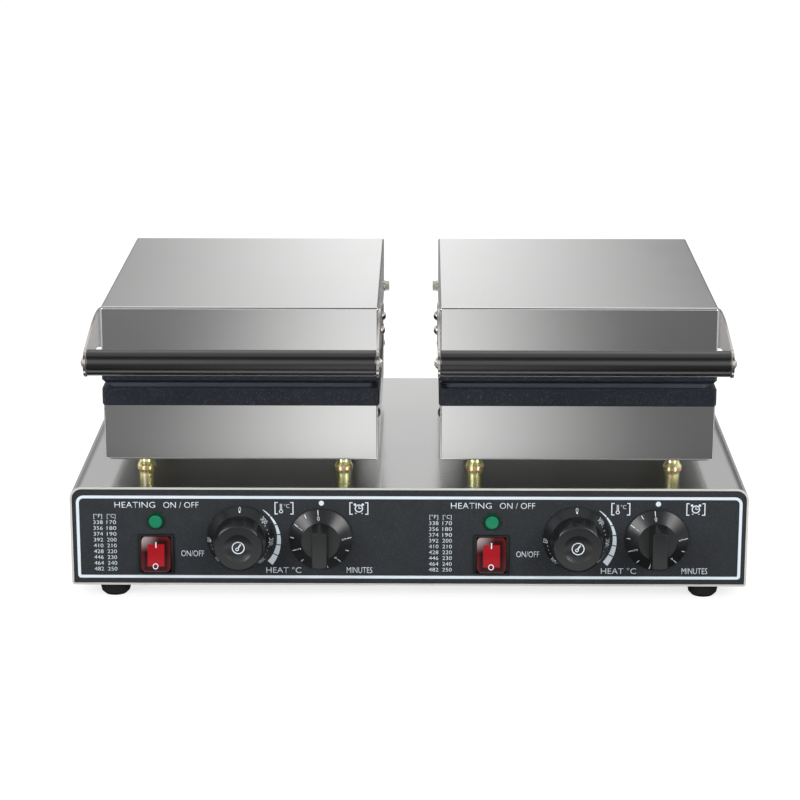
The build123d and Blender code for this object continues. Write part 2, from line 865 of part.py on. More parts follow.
def lid_cover():
    outer = block(-lid_width / 2, lid_width / 2, 0, head_depth, lid_bottom, lid_top)
    outer = fillet(outer.edges().filter_by(Axis.Z), head_bend)
    outer = fillet(outer.edges().group_by(Axis.Z)[-1], head_bend)
    inner = block(-lid_inner, lid_inner, head_sheet, head_depth - head_sheet,
                  lid_bottom - past, lid_top - head_sheet)
    cover = outer - inner
    half = case_inner - deck_side_gap
    cover += block(-half, half, head_depth - rear_deck_depth, head_depth - head_sheet, lid_bottom,
                   lid_bottom + head_sheet)
    cuts = []
    for side in SIDES.values():
        cuts.append(hinge_notch(side))
        x0, x1 = sorted((side * (lid_inner - past), side * (lid_width / 2 + past)))
        cuts.append(along_x(pivot_radius + shaft_fit, x0, x1, pivot_set_back, pivot_height))
        cuts += arm_screw_holes(x0, x1)
    return cover - cuts


def lid_insulation():
    top = lid_top - head_sheet
    return block(-lid_inner + pad_inset, lid_inner - pad_inset, head_sheet + pad_inset, plate_rear,
                 top - pad_thickness, top)


def arm_outline():
    """Side view of a handle arm: a bowed neck from the grip's nose to a rounded tail, as (y, z) points."""
    nose = (-grip_reach, grip_height)
    tail = (arm_tail_back, arm_screw_height)
    shoulder = (-arm_shoulder_reach, lid_top - arm_shoulder_drop)
    waist = (-arm_waist_reach, lid_top - arm_waist_drop)
    belly = (arm_tail_back - arm_screw_pitch, arm_screw_height - arm_tail_radius)
    nose_top = (nose[0], nose[1] + arm_nose_radius)
    nose_low = (nose[0], nose[1] - arm_nose_radius)
    tail_top = (tail[0], tail[1] + arm_tail_radius)
    tail_low = (tail[0], tail[1] - arm_tail_radius)
    return [
        Spline([nose_top, shoulder, tail_top], tangents=[(1, arm_nose_slope), (1, arm_tail_slope)]),
        ThreePointArc(tail_top, (tail[0] + arm_tail_radius, tail[1]), tail_low),
        Line(tail_low, belly),
        Spline([belly, waist, nose_low], tangents=[(-1, 0), (-1, 0)]),
        ThreePointArc(nose_low, (nose[0] - arm_nose_radius, nose[1]), nose_top),
    ]


def handle_arms():
    face = make_face(arm_outline())
    arms = []
    for side in SIDES.values():
        x = lid_width / 2 if side > 0 else -lid_width / 2 - arm_sheet
        arm = Pos(x, 0, 0) * extrude(Plane.YZ * face, arm_sheet)
        x0, x1 = x - past, x + arm_sheet + past
        cuts = [along_x(rod_radius + screw_fit, x0, x1, -grip_reach, grip_height)]
        cuts += arm_screw_holes(x0, x1)
        arms.append(arm - cuts)
    return arms


def handle_grip():
    half = lid_width / 2
    grip = along_x(grip_radius, -half, half, -grip_reach, grip_height)
    ends = [grip.edges().group_by(Axis.X)[0], grip.edges().group_by(Axis.X)[-1]]
    grip = fillet(ends[0] + ends[1], grip_end_round)
    return grip - along_x(rod_radius + screw_fit, -half - past, half + past, -grip_reach, grip_height)


def handle_rod():
    """The rod through the grip, with a dome nut at each end."""
    outer = lid_width / 2 + arm_sheet
    rod = along_x(rod_radius, -outer, outer, -grip_reach, grip_height)
    dome = dome_screw(rod_dome_radius, dome_height, rod_radius, bite, rod_radius)
    domes = [sideways(dome, side, outer, -grip_reach, grip_height) for side in SIDES.values()]
    return rod + domes


def arm_screws():
    length = arm_sheet + head_sheet + joint_gap + arm_screw_bite
    screws = []
    for side in SIDES.values():
        for y in arm_screw_set_backs():
            screw = dome_screw(dome_radius, dome_height, arm_screw_radius, length, arm_screw_radius)
            screws.append(sideways(screw, side, lid_width / 2 + arm_sheet, y, arm_screw_height))
    return screws


# Controls. Each is made along +Z with the panel's face at z = 0, then turned to the front
def switch_body():
    bezel = extrude(RectangleRounded(bezel_width, bezel_height, bezel_corner), bezel_proud)
    bezel = chamfer(bezel.edges().group_by(Axis.Z)[-1], bezel_chamfer)
    body = Pos(0, 0, -switch_body_depth) * extrude(Rectangle(switch_body_width, switch_body_height),
                                                   switch_body_depth)
    half_x = rocker_width / 2 + rocker_side_gap
    well = block(-half_x, half_x, -switch_well, switch_well, -switch_well_depth, bezel_proud + past)
    pin_reach = half_x + rocker_pin_bite + rocker_pin_room
    pin_hole = along_x(rocker_pin_radius + shaft_fit, -pin_reach, pin_reach, 0, 0)
    low = (Align.CENTER, Align.CENTER, Align.MIN)
    tab = Box(terminal_width, terminal_sheet, terminal_length + bite, align=low)
    tabs = [Pos(0, y, -switch_body_depth - terminal_length) * tab
            for y in (-switch_body_height / 4, switch_body_height / 4)]
    return join([bezel, body] + tabs) - well - pin_hole


def rocker():
    """A see-saw button, made level. Its end faces are round about the pivot."""
    end = math.sqrt(rocker_radius ** 2 - rocker_proud ** 2)
    back = math.sqrt(rocker_radius ** 2 - rocker_back ** 2)
    outline = [
        ThreePointArc((-end, rocker_proud), (0, rocker_proud - rocker_dish), (end, rocker_proud)),
        ThreePointArc((end, rocker_proud), (rocker_radius, 0), (back, -rocker_back)),
        Line((back, -rocker_back), (-back, -rocker_back)),
        ThreePointArc((-back, -rocker_back), (-rocker_radius, 0), (-end, rocker_proud)),
    ]
    body = Pos(-rocker_width / 2, 0, 0) * extrude(Plane.YZ * make_face(outline), rocker_width)
    height = 2 * (rocker_radius + past)
    plan = RectangleRounded(rocker_width, 2 * rocker_radius, rocker_corner)
    body = body & Pos(0, 0, -height / 2) * extrude(plan, height)
    reach = rocker_width / 2 + rocker_side_gap + rocker_pin_bite
    return body + along_x(rocker_pin_radius, -reach, reach, 0, 0)


def indicator_lamp():
    """Lens and flange ahead of the panel, lamp body and nut behind it."""
    flange = upright(lens_flange_radius, 0, lens_flange)
    flange = fillet(flange.edges().group_by(Axis.Z)[-1], lens_flange_round)
    lens = upright(lens_radius, 0, lens_proud)
    lens = fillet(lens.edges().group_by(Axis.Z)[-1], lens_round)
    body = upright(lamp_body_radius, -lamp_body_length, lens_flange)
    nut = Pos(0, 0, -panel_sheet - lamp_nut_height) * hex_bar(lamp_nut_across, lamp_nut_height)
    return join([flange, lens, body, nut])


def control_case():
    """A thermostat or timer: case behind the panel, threaded neck through it, and its nut in front."""
    width, depth, height = control_body
    case = Pos(0, 0, -panel_sheet - depth) * extrude(Rectangle(width, height), depth)
    case = fillet(case.edges().filter_by(Axis.Z), control_case_round)
    neck = upright(control_neck_radius, -panel_sheet - bite, control_neck_proud)
    nut = hex_bar(control_nut_across, control_nut_height)
    bore = upright(spindle_radius + shaft_fit, -panel_sheet - spindle_bite - spindle_end_room,
                   control_neck_proud + past)
    return join([case, neck, nut]) - bore


def spindle():
    bar = upright(spindle_radius, -panel_sheet - spindle_bite, spindle_proud)
    side = spindle_radius + past
    flat = block(spindle_radius - spindle_flat, side, -side, side, control_neck_proud + spindle_end_room,
                 spindle_proud + past)
    return bar - flat


def spindle_socket():
    """The D-shaped bore of a knob."""
    radius = spindle_radius + shaft_fit
    side = radius + past
    bore = upright(radius, -past, spindle_proud + spindle_end_room)
    return bore - block(radius - spindle_flat, side, -side, side, control_neck_proud + 2 * spindle_end_room,
                        spindle_proud + past)


def temperature_knob():
    foot = knob_air
    front = temp_knob_height
    cone_top = foot + temp_skirt_height
    ring_top = cone_top + temp_ring_height
    outline = [(0, foot), (temp_skirt_radius, foot), (temp_skirt_radius, foot + temp_skirt_edge),
               (temp_skirt_front_radius, cone_top), (temp_grip_radius, cone_top),
               (temp_grip_radius, ring_top), (temp_grip_front_radius, front), (0, front)]
    knob = turned(outline)
    rim = knob.edges().filter_by(GeomType.CIRCLE).group_by(Axis.Z)[-1]
    knob = fillet(rim, temp_front_round)
    centre = temp_grip_radius + temp_scallop_radius - temp_scallop_depth
    scallops = []
    for i in range(temp_scallops):
        angle = math.radians(90 + i * 360 / temp_scallops)
        scallops.append(upright(temp_scallop_radius, ring_top, front + past,
                                centre * math.cos(angle), centre * math.sin(angle)))
    ball = (temp_dish_radius ** 2 + temp_dish_depth ** 2) / (2 * temp_dish_depth)
    dish = Pos(0, 0, front + ball - temp_dish_depth) * Sphere(ball)
    knob = knob - scallops - dish
    hollow = upright(temp_grip_radius - knob_wall, foot - past, foot + knob_hollow)
    return knob - hollow - spindle_socket()


def timer_knob():
    foot = knob_air
    top = foot + timer_skirt_height
    outline = [(0, foot), (timer_skirt_radius, foot), (timer_skirt_radius, foot + timer_skirt_edge),
               (timer_skirt_front_radius, top), (0, top)]
    skirt = turned(outline)
    reach = timer_skirt_front_radius
    low = top - bite
    bar = Pos(0, 0, low) * extrude(Rectangle(timer_bar_width, 2 * (reach + past)), timer_knob_height - low,
                                   taper=timer_bar_taper)
    bar = bar & upright(reach, low, timer_knob_height)
    bar = fillet(bar.edges().group_by(Axis.Z)[-1], timer_bar_round)
    hollow = upright(timer_skirt_front_radius - knob_wall, foot - past, foot + timer_hollow)
    return skirt + bar - hollow - spindle_socket()


def write(name, part):
    export_step(part, f"parts/{name}.step")


# Every node of the assembly
def build():
    os.makedirs("parts", exist_ok=True)
    write("base_shell", base_shell())
    write("base_bottom_plate", base_bottom_plate())
    write("control_panel", control_panel())
    write("rear_panel", rear_panel())
    write("rubber_feet", group(Pos(x, y, 0) * rubber_foot() for x, y in foot_places()))
    write("foot_screws", group(Pos(x, y, 0) * foot_screw() for x, y in foot_places()))
    write("terminal_block", terminal_block())
    write("cable_gland", cable_gland())
    write("stand_off_posts", group(both_heads(lambda: at_posts(stand_off_post()))))
    write("post_bolts", group(both_heads(lambda: at_posts(post_bolt()))))
    write("hinge_brackets", group(both_heads(hinge_brackets)))
    write("pivot_bolts", group(both_heads(pivot_bolts)))
    write("case_screws", group(both_heads(case_screws)))

    head_pieces = {
        "lower_case": lower_case(), "lower_plate": lower_plate(), "lower_heater": lower_heater(),
        "upper_plate": upper_plate(), "upper_heater": upper_heater(), "lid_cover": lid_cover(),
        "lid_insulation": lid_insulation(), "handle_grip": handle_grip(), "handle_rod": handle_rod(),
    }
    head_groups = {
        "lower_heater_clamps": lower_heater_clamps(), "upper_heater_clamps": upper_heater_clamps(),
        "handle_arms": handle_arms(), "arm_screws": arm_screws(),
    }
    knob_pieces = {
        "temperature_knob": (temperature_knob(), temperature_place),
        "timer_knob": (timer_knob(), timer_place),
        "thermostat": (control_case(), temperature_place), "timer": (control_case(), timer_place),
        "thermostat_spindle": (spindle(), temperature_place), "timer_spindle": (spindle(), timer_place),
        "switch_body": (switch_body(), switch_place), "indicator_lamp": (indicator_lamp(), lamp_place),
        "switch_rocker": (Rot(-rocker_tilt, 0, 0) * rocker(), switch_place),
    }
    for name, side in SIDES.items():
        for piece, part in head_pieces.items():
            write(f"{name}_{piece}", place_head(part, side))
        for piece, parts in head_groups.items():
            write(f"{name}_{piece}", group(place_head(part, side) for part in parts))
        for piece, (part, place) in knob_pieces.items():
            x, z = control_at(place, side)
            write(f"{name}_{piece}", facing_front(part, x, panel_face, z))


build()
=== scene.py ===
# %% [markdown]
# A double waffle maker for a kitchen counter: two hinged cooking heads stand on plated posts above one long
# base with the controls. The sheet steel, castings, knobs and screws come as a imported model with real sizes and
# joints, so they stay as they are. This notebook gives each of them its finish, prints the marks on the panel
# and the dials, adds the small raised details, and sets up the camera and the studio.

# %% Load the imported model
import json
import math
import bmesh
import bpy
from mathutils import Matrix, Vector
from mathutils.bvhtree import BVHTree


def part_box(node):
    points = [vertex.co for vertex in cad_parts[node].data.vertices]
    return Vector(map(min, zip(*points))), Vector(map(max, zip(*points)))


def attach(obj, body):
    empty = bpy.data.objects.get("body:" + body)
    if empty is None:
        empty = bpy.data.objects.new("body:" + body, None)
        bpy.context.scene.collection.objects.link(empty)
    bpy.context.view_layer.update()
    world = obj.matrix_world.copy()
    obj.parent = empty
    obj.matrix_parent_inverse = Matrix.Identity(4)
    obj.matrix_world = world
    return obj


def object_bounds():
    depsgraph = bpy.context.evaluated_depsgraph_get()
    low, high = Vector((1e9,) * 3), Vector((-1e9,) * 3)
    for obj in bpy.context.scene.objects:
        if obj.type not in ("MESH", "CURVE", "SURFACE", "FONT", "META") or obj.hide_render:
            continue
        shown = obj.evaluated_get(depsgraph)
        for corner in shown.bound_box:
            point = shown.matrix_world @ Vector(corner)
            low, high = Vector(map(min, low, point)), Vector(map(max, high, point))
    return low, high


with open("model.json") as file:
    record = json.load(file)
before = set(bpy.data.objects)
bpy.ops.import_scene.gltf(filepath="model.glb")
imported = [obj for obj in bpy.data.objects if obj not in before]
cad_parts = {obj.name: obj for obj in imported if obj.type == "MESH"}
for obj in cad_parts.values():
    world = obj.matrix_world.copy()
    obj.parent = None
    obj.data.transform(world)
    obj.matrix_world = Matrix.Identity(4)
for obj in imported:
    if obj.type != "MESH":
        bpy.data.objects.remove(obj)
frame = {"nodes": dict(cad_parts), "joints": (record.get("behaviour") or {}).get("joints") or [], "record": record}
nodes = frame["nodes"]
cad_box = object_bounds()
mm = 0.001
SIDES = ("left", "right")
print(len(nodes), "pieces in a box of", [round(size / mm, 1) for size in cad_box[1] - cad_box[0]], "mm")

# %% [markdown]
# Every print, lamp and highlight below is placed from the machine itself. The turning axes of the dials and
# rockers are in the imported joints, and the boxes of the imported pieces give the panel's face and the sheet edges.
# Reading them here keeps the dressing in line with the metalwork if a size changes.

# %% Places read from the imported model
joints = {joint["name"]: joint for joint in frame["joints"]}
base_low, base_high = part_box("base_shell")
panel_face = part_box("control_panel")[0].y
base_bottom = base_low.z
base_top = base_high.z


def joint_place(name):
    return Vector(joints[name]["pos_m"])


def middle(node):
    low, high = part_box(node)
    return (low + high) / 2


head_middle = {side: middle(f"{side}_lower_case").x for side in SIDES}
print("panel face at", round(panel_face / mm, 1), "mm, head middles at",
      {side: round(x / mm, 1) for side, x in head_middle.items()})

# %% [markdown]
# A finish is a graph of shader nodes. Written out link by link it is hard to read, so a small class wraps a
# socket and lets it be used in arithmetic: an expression such as 1 - mask adds the Math nodes by itself. Colours
# and directions don't go through Math nodes, which would turn them grey, but through Mix and Vector Math.

# %% Sockets that can be used in arithmetic
class Wire:
    """An output socket. Arithmetic on it adds Math nodes."""

    def __init__(self, graph, socket):
        self.graph = graph
        self.socket = socket

    def part(self, name):
        """Another output of the same node."""
        return Wire(self.graph, self.socket.node.outputs[name])

    def __add__(self, other):
        return self.graph.math("ADD", self, other)

    def __sub__(self, other):
        return self.graph.math("SUBTRACT", self, other)

    def __mul__(self, other):
        return self.graph.math("MULTIPLY", self, other)

    def __gt__(self, other):
        return self.graph.math("GREATER_THAN", self, other)

    def __rsub__(self, other):
        return self.graph.math("SUBTRACT", other, self)

    __radd__ = __add__
    __rmul__ = __mul__


class Graph:
    """A node tree that is filled by one method, node."""

    def __init__(self, tree):
        self.tree = tree
        tree.nodes.clear()

    def node(self, kind, settings, values, output=0):
        """Adds a node: first its settings, then the values or wires of its sockets."""
        made = self.tree.nodes.new("ShaderNode" + kind)
        for name, value in settings.items():
            if name == "stops":
                self.set_stops(made.color_ramp.elements, value)
            else:
                setattr(made, name, value)
        for name, value in values.items():
            if isinstance(value, Wire):
                self.tree.links.new(made.inputs[name], value.socket)
            else:
                made.inputs[name].default_value = value
        return Wire(self, made.outputs[output]) if made.outputs else None

    def set_stops(self, elements, stops):
        while len(elements) < len(stops):
            elements.new(1.0)
        for element, (position, colour) in zip(elements, stops):
            element.position = position
            element.color = (*colour, 1.0)

    def math(self, operation, *values):
        return self.node("Math", {"operation": operation}, dict(enumerate(values)))

    def mix(self, factor, first, second):
        """Blends two colours. The colour sockets of a Mix node are its seventh and eighth."""
        return self.node("Mix", {"data_type": "RGBA"}, {0: factor, 6: first, 7: second}, 2)

    def step(self, value, start, end):
        """Rises smoothly from 0 to 1 while value goes from start to end."""
        settings = {"interpolation_type": "SMOOTHSTEP"}
        return self.node("MapRange", settings, {"Value": value, "From Min": start, "From Max": end})

    def within(self, value, rise, fall):
        """1 between two soft ends: it rises over the range rise and comes down over the range fall."""
        return self.step(value, *rise) * (1 - self.step(value, *fall))

    def ray_kinds(self):
        """Two masks: rays straight from the camera, and rays sent on by a mirror or a clear piece."""
        path = self.node("LightPath", {}, {})
        sent_on = self.math("MAXIMUM", path.part("Is Glossy Ray"), path.part("Is Transmission Ray"))
        return path.part("Is Camera Ray"), sent_on


print("expressions on sockets are ready")

# %% [markdown]
# The studio is what polished steel looks like, since a mirror has hardly any colour of its own. On the real
# machine the sheets are bright towards the middle and fade to grey at the outer ends, because the pale backdrop
# is lit in the middle only. The lid tops mirror the foot of the backdrop, which fades sideways, and the flat base
# mirrors an even band above it. Higher up and in front the room is dark, so that black knobs stay black. A pale
# card on each side and one overhead give the bevels and the plated posts something bright to mirror. All this is
# for mirrored rays only: the camera sees plain white.

# %% Backdrop
def rgb(red, green=None, blue=None):
    """A colour with its alpha. One number gives a grey."""
    if green is None:
        return (red, red, red, 1.0)
    return (red, green, blue, 1.0)


scene = bpy.context.scene
scene.view_settings.view_transform = "Standard"

# Brightness of each zone, and how much the foot loses to the left and to the right
fill_light = 0.56
band_light = 0.56
dark_light = 0.1
side_light = 0.9
ceiling_light = 1.1
foot_light = 1.12
left_loss = 0.86
right_loss = 0.97
outer_gain = 0.4

# Where each zone starts and ends, as parts of a direction of length one
left_fade = (-0.01, 0.15)
right_fade = (-0.03, 0.14)
outer_rise = (0.3, 0.8)
band_rise = (0.232, 0.25)
dark_rise = (0.34, 0.44)
front_rise = (0.0, 0.4)
side_rise = (0.4, 0.6)
side_foot = (0.05, 0.25)
side_head = (0.55, 0.75)
ceiling_foot = (0.42, 0.6)
ceiling_head = (0.8, 0.97)
ceiling_ends = (0.3, 0.5)
ceiling_back = (0.15, 0.4)

backdrop = bpy.data.worlds.new("pale_backdrop")
backdrop.use_nodes = True
scene.world = backdrop
sky = Graph(backdrop.node_tree)
seen, mirrored = sky.ray_kinds()
rightward = sky.node("SeparateXYZ", {}, {"Vector": sky.node("TexCoord", {}, {}, "Generated")}, "X")
backward = rightward.part("Y")
upward = rightward.part("Z")
sideways = sky.math("ABSOLUTE", rightward)

foot = (foot_light - left_loss * sky.step(0 - rightward, *left_fade)
        - right_loss * sky.step(rightward, *right_fade) + outer_gain * sky.step(sideways, *outer_rise))
lit_wall = foot + sky.step(upward, *band_rise) * (band_light - foot)
dark = sky.math("MAXIMUM", sky.step(upward, *dark_rise), sky.step(0 - backward, *front_rise))
side_cards = sky.step(sideways, *side_rise) * sky.within(upward, side_foot, side_head)
ceiling = sky.within(upward, ceiling_foot, ceiling_head) * (1 - sky.step(sideways, *ceiling_ends))
cards = side_cards * side_light + ceiling * sky.step(backward, *ceiling_back) * ceiling_light
room = lit_wall + dark * (dark_light - lit_wall) + cards
strength = seen + mirrored * room + (1 - seen - mirrored) * fill_light
glow = sky.node("Background", {}, {"Color": rgb(1.0), "Strength": strength})
sky.node("OutputWorld", {}, {"Surface": glow})
print("backdrop made")

# %% [markdown]
# The table top is one large pale sheet. It is lit like anything else, so it keeps the soft shadow of the machine,
# and a little light of its own, which only the camera sees, lifts it to white. Mirrored rays see a falloff from
# the middle of the table instead, because the lid fronts and case fronts look down at it. Close to the machine it
# is dark for them, apart from one narrow strip in front that draws the thin low line on the grips, and a dim glow
# on each side, without which the ends of the base would mirror nothing and look black.

# %% Table top
table_half = 30.0
table_tone = 0.45
table_lift = 0.76

# What mirrored rays see: brightness, and ranges in metres from the middle of the machine
card_light = 1.05
card_left_loss = 0.88
card_right_loss = 0.92
card_outer_gain = 0.5
near_loss = 0.8
behind_loss = 0.6
strip_light = 1.6
beside_light = 0.3
card_left_fade = (-0.04, 0.284)
card_right_fade = (-0.085, 0.255)
card_outer_rise = (0.5, 1.3)
near_front = (-0.46, -0.4)
near_back = (0.0, 0.2)
behind_rise = (0.2, 0.5)
strip_front = (-0.31, -0.29)
strip_back = (-0.24, -0.22)
beside_ends = (0.25, 0.32)
beside_front = (-0.3, -0.2)

table_material = bpy.data.materials.new("pale_table")
table_material.use_nodes = True
top = Graph(table_material.node_tree)
seen, mirrored = top.ray_kinds()
rightward = top.node("SeparateXYZ", {}, {"Vector": top.node("TexCoord", {}, {}, "Object")}, "X")
backward = rightward.part("Y")
sideways = top.math("ABSOLUTE", rightward)

falloff = (card_light - card_left_loss * top.step(0 - rightward, *card_left_fade)
           - card_right_loss * top.step(rightward, *card_right_fade)
           + card_outer_gain * top.step(sideways, *card_outer_rise))
near = top.within(backward, near_front, near_back)
behind = top.step(backward, *behind_rise)
strip = top.within(backward, strip_front, strip_back)
beside = top.step(sideways, *beside_ends) * top.step(backward, *beside_front)
mirror_light = (falloff * (1 - near_loss * near) * (1 - behind_loss * behind) + strip_light * strip
                + beside_light * beside)

matt = top.node("BsdfDiffuse", {}, {"Color": rgb(table_tone)})
lift = top.node("Emission", {}, {"Color": rgb(1.0), "Strength": seen * table_lift})
lit = top.node("AddShader", {}, {0: matt, 1: lift})
card = top.node("Emission", {}, {"Color": rgb(1.0), "Strength": mirror_light})
top.node("OutputMaterial", {}, {"Surface": top.node("MixShader", {}, {0: mirrored, 1: lit, 2: card})})

corners = [(-table_half, -table_half, 0), (table_half, -table_half, 0), (table_half, table_half, 0),
           (-table_half, table_half, 0)]
table_mesh = bpy.data.meshes.new("table_top")
table_mesh.from_pydata(corners, [], [(0, 1, 2, 3)])
table_mesh.materials.append(table_material)
table_top = bpy.data.objects.new("table_top", table_mesh)
scene.collection.objects.link(table_top)
print("table top made")

# %% [markdown]
# Four soft lamps are enough. One overhead lights the whole, a strip above the camera draws the long highlight on
# the grips, and one on each side in front picks out the bevels of the dials. They are large and far away, so their
# edges stay soft.

# %% Camera and lamps
camera_lens = 116.4
camera_place = (0.0112, -1.9503, 0.6462)
camera_tilt = math.radians(74.85)
camera_turn = math.radians(0.558)

camera_data = bpy.data.cameras.new("camera")
camera_data.lens = camera_lens
camera_data.sensor_width = 36.0
camera = bpy.data.objects.new("camera", camera_data)
camera.location = camera_place
camera.rotation_euler = (camera_tilt, 0, camera_turn)
scene.collection.objects.link(camera)
scene.camera = camera


def soft_lamp(name, place, aim, width, height, power):
    """A rectangular lamp that faces the point aim."""
    data = bpy.data.lights.new(name, "AREA")
    data.shape = "RECTANGLE"
    data.size = width
    data.size_y = height
    data.energy = power
    lamp = bpy.data.objects.new(name, data)
    lamp.location = place
    lamp.rotation_euler = (Vector(aim) - Vector(place)).to_track_quat("-Z", "Y").to_euler()
    scene.collection.objects.link(lamp)


aim = (0, 0, 0.1)
soft_lamp("overhead_lamp", (0.0, 0.1, 2.2), aim, width=3.4, height=2.0, power=13)
soft_lamp("strip_lamp", (0.0, -2.5, 1.05), aim, width=2.4, height=1.5, power=11)
soft_lamp("left_lamp", (-1.3, -1.55, 0.75), aim, width=0.7, height=0.9, power=17)
soft_lamp("right_lamp", (1.3, -1.55, 0.75), aim, width=0.7, height=0.9, power=16)
print("camera and four lamps set")

# %% [markdown]
# All finishes share the Principled shader. This class adds it to a new material, measures every texture in the
# machine's own metres, and has one call each for grain and for relief. Sizes are real: a noise scale of 1500
# means about 1500 spots per metre, so 0.7 mm each.

# %% The start of every finish
class Finish(Graph):
    """A material with one Principled shader. Even values are set on the shader's own sockets."""

    def __init__(self, name, values):
        self.material = bpy.data.materials.new(name)
        self.material.use_nodes = True
        super().__init__(self.material.node_tree)
        shader = self.node("BsdfPrincipled", {}, values)
        self.shader = shader.socket.node
        self.node("OutputMaterial", {}, {"Surface": shader})
        self.place = self.node("TexCoord", {}, {}, "Object")

    def noise(self, scale, detail=2.0, stretch=(1, 1, 1)):
        spread = self.node("VectorMath", {"operation": "MULTIPLY"}, {0: self.place, 1: stretch})
        return self.node("TexNoise", {}, {"Vector": spread, "Scale": scale, "Detail": detail})

    def along(self, axis):
        """The place on one axis, in metres."""
        return self.node("SeparateXYZ", {}, {"Vector": self.place}, axis)

    def vary(self, **values):
        """Feeds the shader's sockets, with a wire or an even value. An underscore stands for a space."""
        for name, value in values.items():
            socket = self.shader.inputs[name.replace("_", " ")]
            if isinstance(value, Wire):
                self.tree.links.new(socket, value.socket)
            else:
                socket.default_value = value

    def relief(self, height, depth):
        """Raises the surface by height times depth, in metres."""
        self.vary(Normal=self.node("Bump", {}, {"Height": height, "Distance": depth}))


def shaded(colour, factor):
    """A colour made darker or lighter."""
    return rgb(*(factor * part for part in colour))


finishes = {}
print("finish class ready")

# %% [markdown]
# The head cases and lids are polished stainless sheet with a fine grain that runs up the fronts and back along
# the tops. Seen from a step away the grain only blurs mirror images sideways, which a very fine stretched noise
# in the relief does by itself. The undersides are rougher and painted dark as shade under the heads, and that
# is why the posts stand in a dark mirror image on the base. Their two side margins are painted pale, so the image
# fades there. A fine dark line along the front fold of each lid is the seam of the fold. The handle arms are duller
# and warmer.

# %% Stainless sheet
grain_scale = 1400
grain_stretch = (1.0, 0.015, 0.015)
grain_depth = 0.003 * mm
cloud_scale = 14
bend = 1.6 * mm
case_low, case_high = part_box("right_lower_case")
case_half = (case_high.x - case_low.x) / 2
outer_margin = (case_half - 7 * mm, case_half + 1 * mm)
inner_margin = (case_half - 32 * mm, case_half - 2 * mm)
seam_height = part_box("right_lid_cover")[1].z - 0.75 * mm
seam_edge = (0.25 * mm, 0.5 * mm)
seam_front = (case_low.y + 1.0 * mm, case_low.y + 1.6 * mm)


def sheet_steel(name, tone, roughness):
    """A steel sheet with its grain. The caller gets its colour and roughness, to change them in places."""
    steel = Finish(name, {})
    grain = steel.noise(grain_scale, 2.0, grain_stretch)
    cloud = steel.noise(cloud_scale, 3.0)
    colour = steel.mix(cloud, rgb(tone * 0.98), rgb(tone * 1.02, tone * 1.02, tone * 1.005))
    steel.relief(grain, grain_depth)
    return steel, colour, roughness + 0.05 * (grain - 0.5) + 0.05 * (cloud - 0.5)


def heat_dulled(steel, colour, rough, height):
    """Below height the sheet is rougher and painted dark as shade, but for its two side margins, which are painted
    pale. The fold in front has its seam.
    """
    dull_and_shaded = 1 - steel.step(steel.along("Z"), height - 0.4 * mm, height + 0.4 * mm)
    outward = steel.math("ABSOLUTE", steel.along("X")) - head_middle["right"]
    painted_pale_margin = steel.math("MAXIMUM", steel.step(outward, *outer_margin), steel.step(0 - outward, *inner_margin))
    # Painted shade: the underside is painted dark grey, and painted pale at its two side margins so the dark mirror
    # image fades there.
    below = steel.mix(painted_pale_margin, rgb(0.36, 0.36, 0.35), rgb(0.92))
    from_seam = steel.math("ABSOLUTE", steel.along("Z") - seam_height)
    seam = (1 - steel.step(from_seam, *seam_edge)) * (1 - steel.step(steel.along("Y"), *seam_front))
    shade = steel.mix(seam, steel.mix(dull_and_shaded, colour, below), rgb(0.2))
    steel.vary(Base_Color=shade, Roughness=rough + 0.2 * dull_and_shaded * (1 - painted_pale_margin), Metallic=1.0)


def cut_edge(steel, colour, rough, front):
    """The cut edge at the front is ground matt, so it scatters light as paint does."""
    ground = 1 - steel.step(steel.along("Y"), front + 0.2 * mm, front + 0.6 * mm)
    steel.vary(Base_Color=steel.mix(ground, colour, rgb(0.62, 0.61, 0.57)), Roughness=rough + 0.3 * ground,
               Metallic=1 - 0.75 * ground)


case_sheet = sheet_steel("case_steel", tone=0.88, roughness=0.15)
heat_dulled(*case_sheet, case_low.z + bend)
finishes["case_steel"] = case_sheet[0].material

base_sheet = sheet_steel("base_steel", tone=0.82, roughness=0.16)
cut_edge(*base_sheet, base_low.y)
finishes["base_steel"] = base_sheet[0].material

arm_steel, arm_colour, arm_rough = sheet_steel("arm_steel", tone=0.55, roughness=0.22)
arm_tint = arm_steel.mix(0.5, arm_colour, rgb(0.55, 0.47, 0.45))
arm_steel.vary(Base_Color=arm_tint, Roughness=arm_rough, Metallic=1.0)
finishes["arm_steel"] = arm_steel.material

inner_steel, inner_colour, inner_rough = sheet_steel("plain_steel", tone=0.5, roughness=0.3)
inner_steel.vary(Base_Color=inner_colour, Roughness=inner_rough, Metallic=1.0)
finishes["plain_steel"] = inner_steel.material
print("sheet finishes:", len(finishes))

# %% [markdown]
# The cast plates have a baked non-stick coat: blue-black, satin, with a fine orange-peel skin and a few pale
# specks where the coat is thin. Noise of two sizes gives the skin, and a high threshold on a third one leaves
# only the rare specks. The front of the raised seal frame is painted a little paler than the coat, a painted
# highlight.

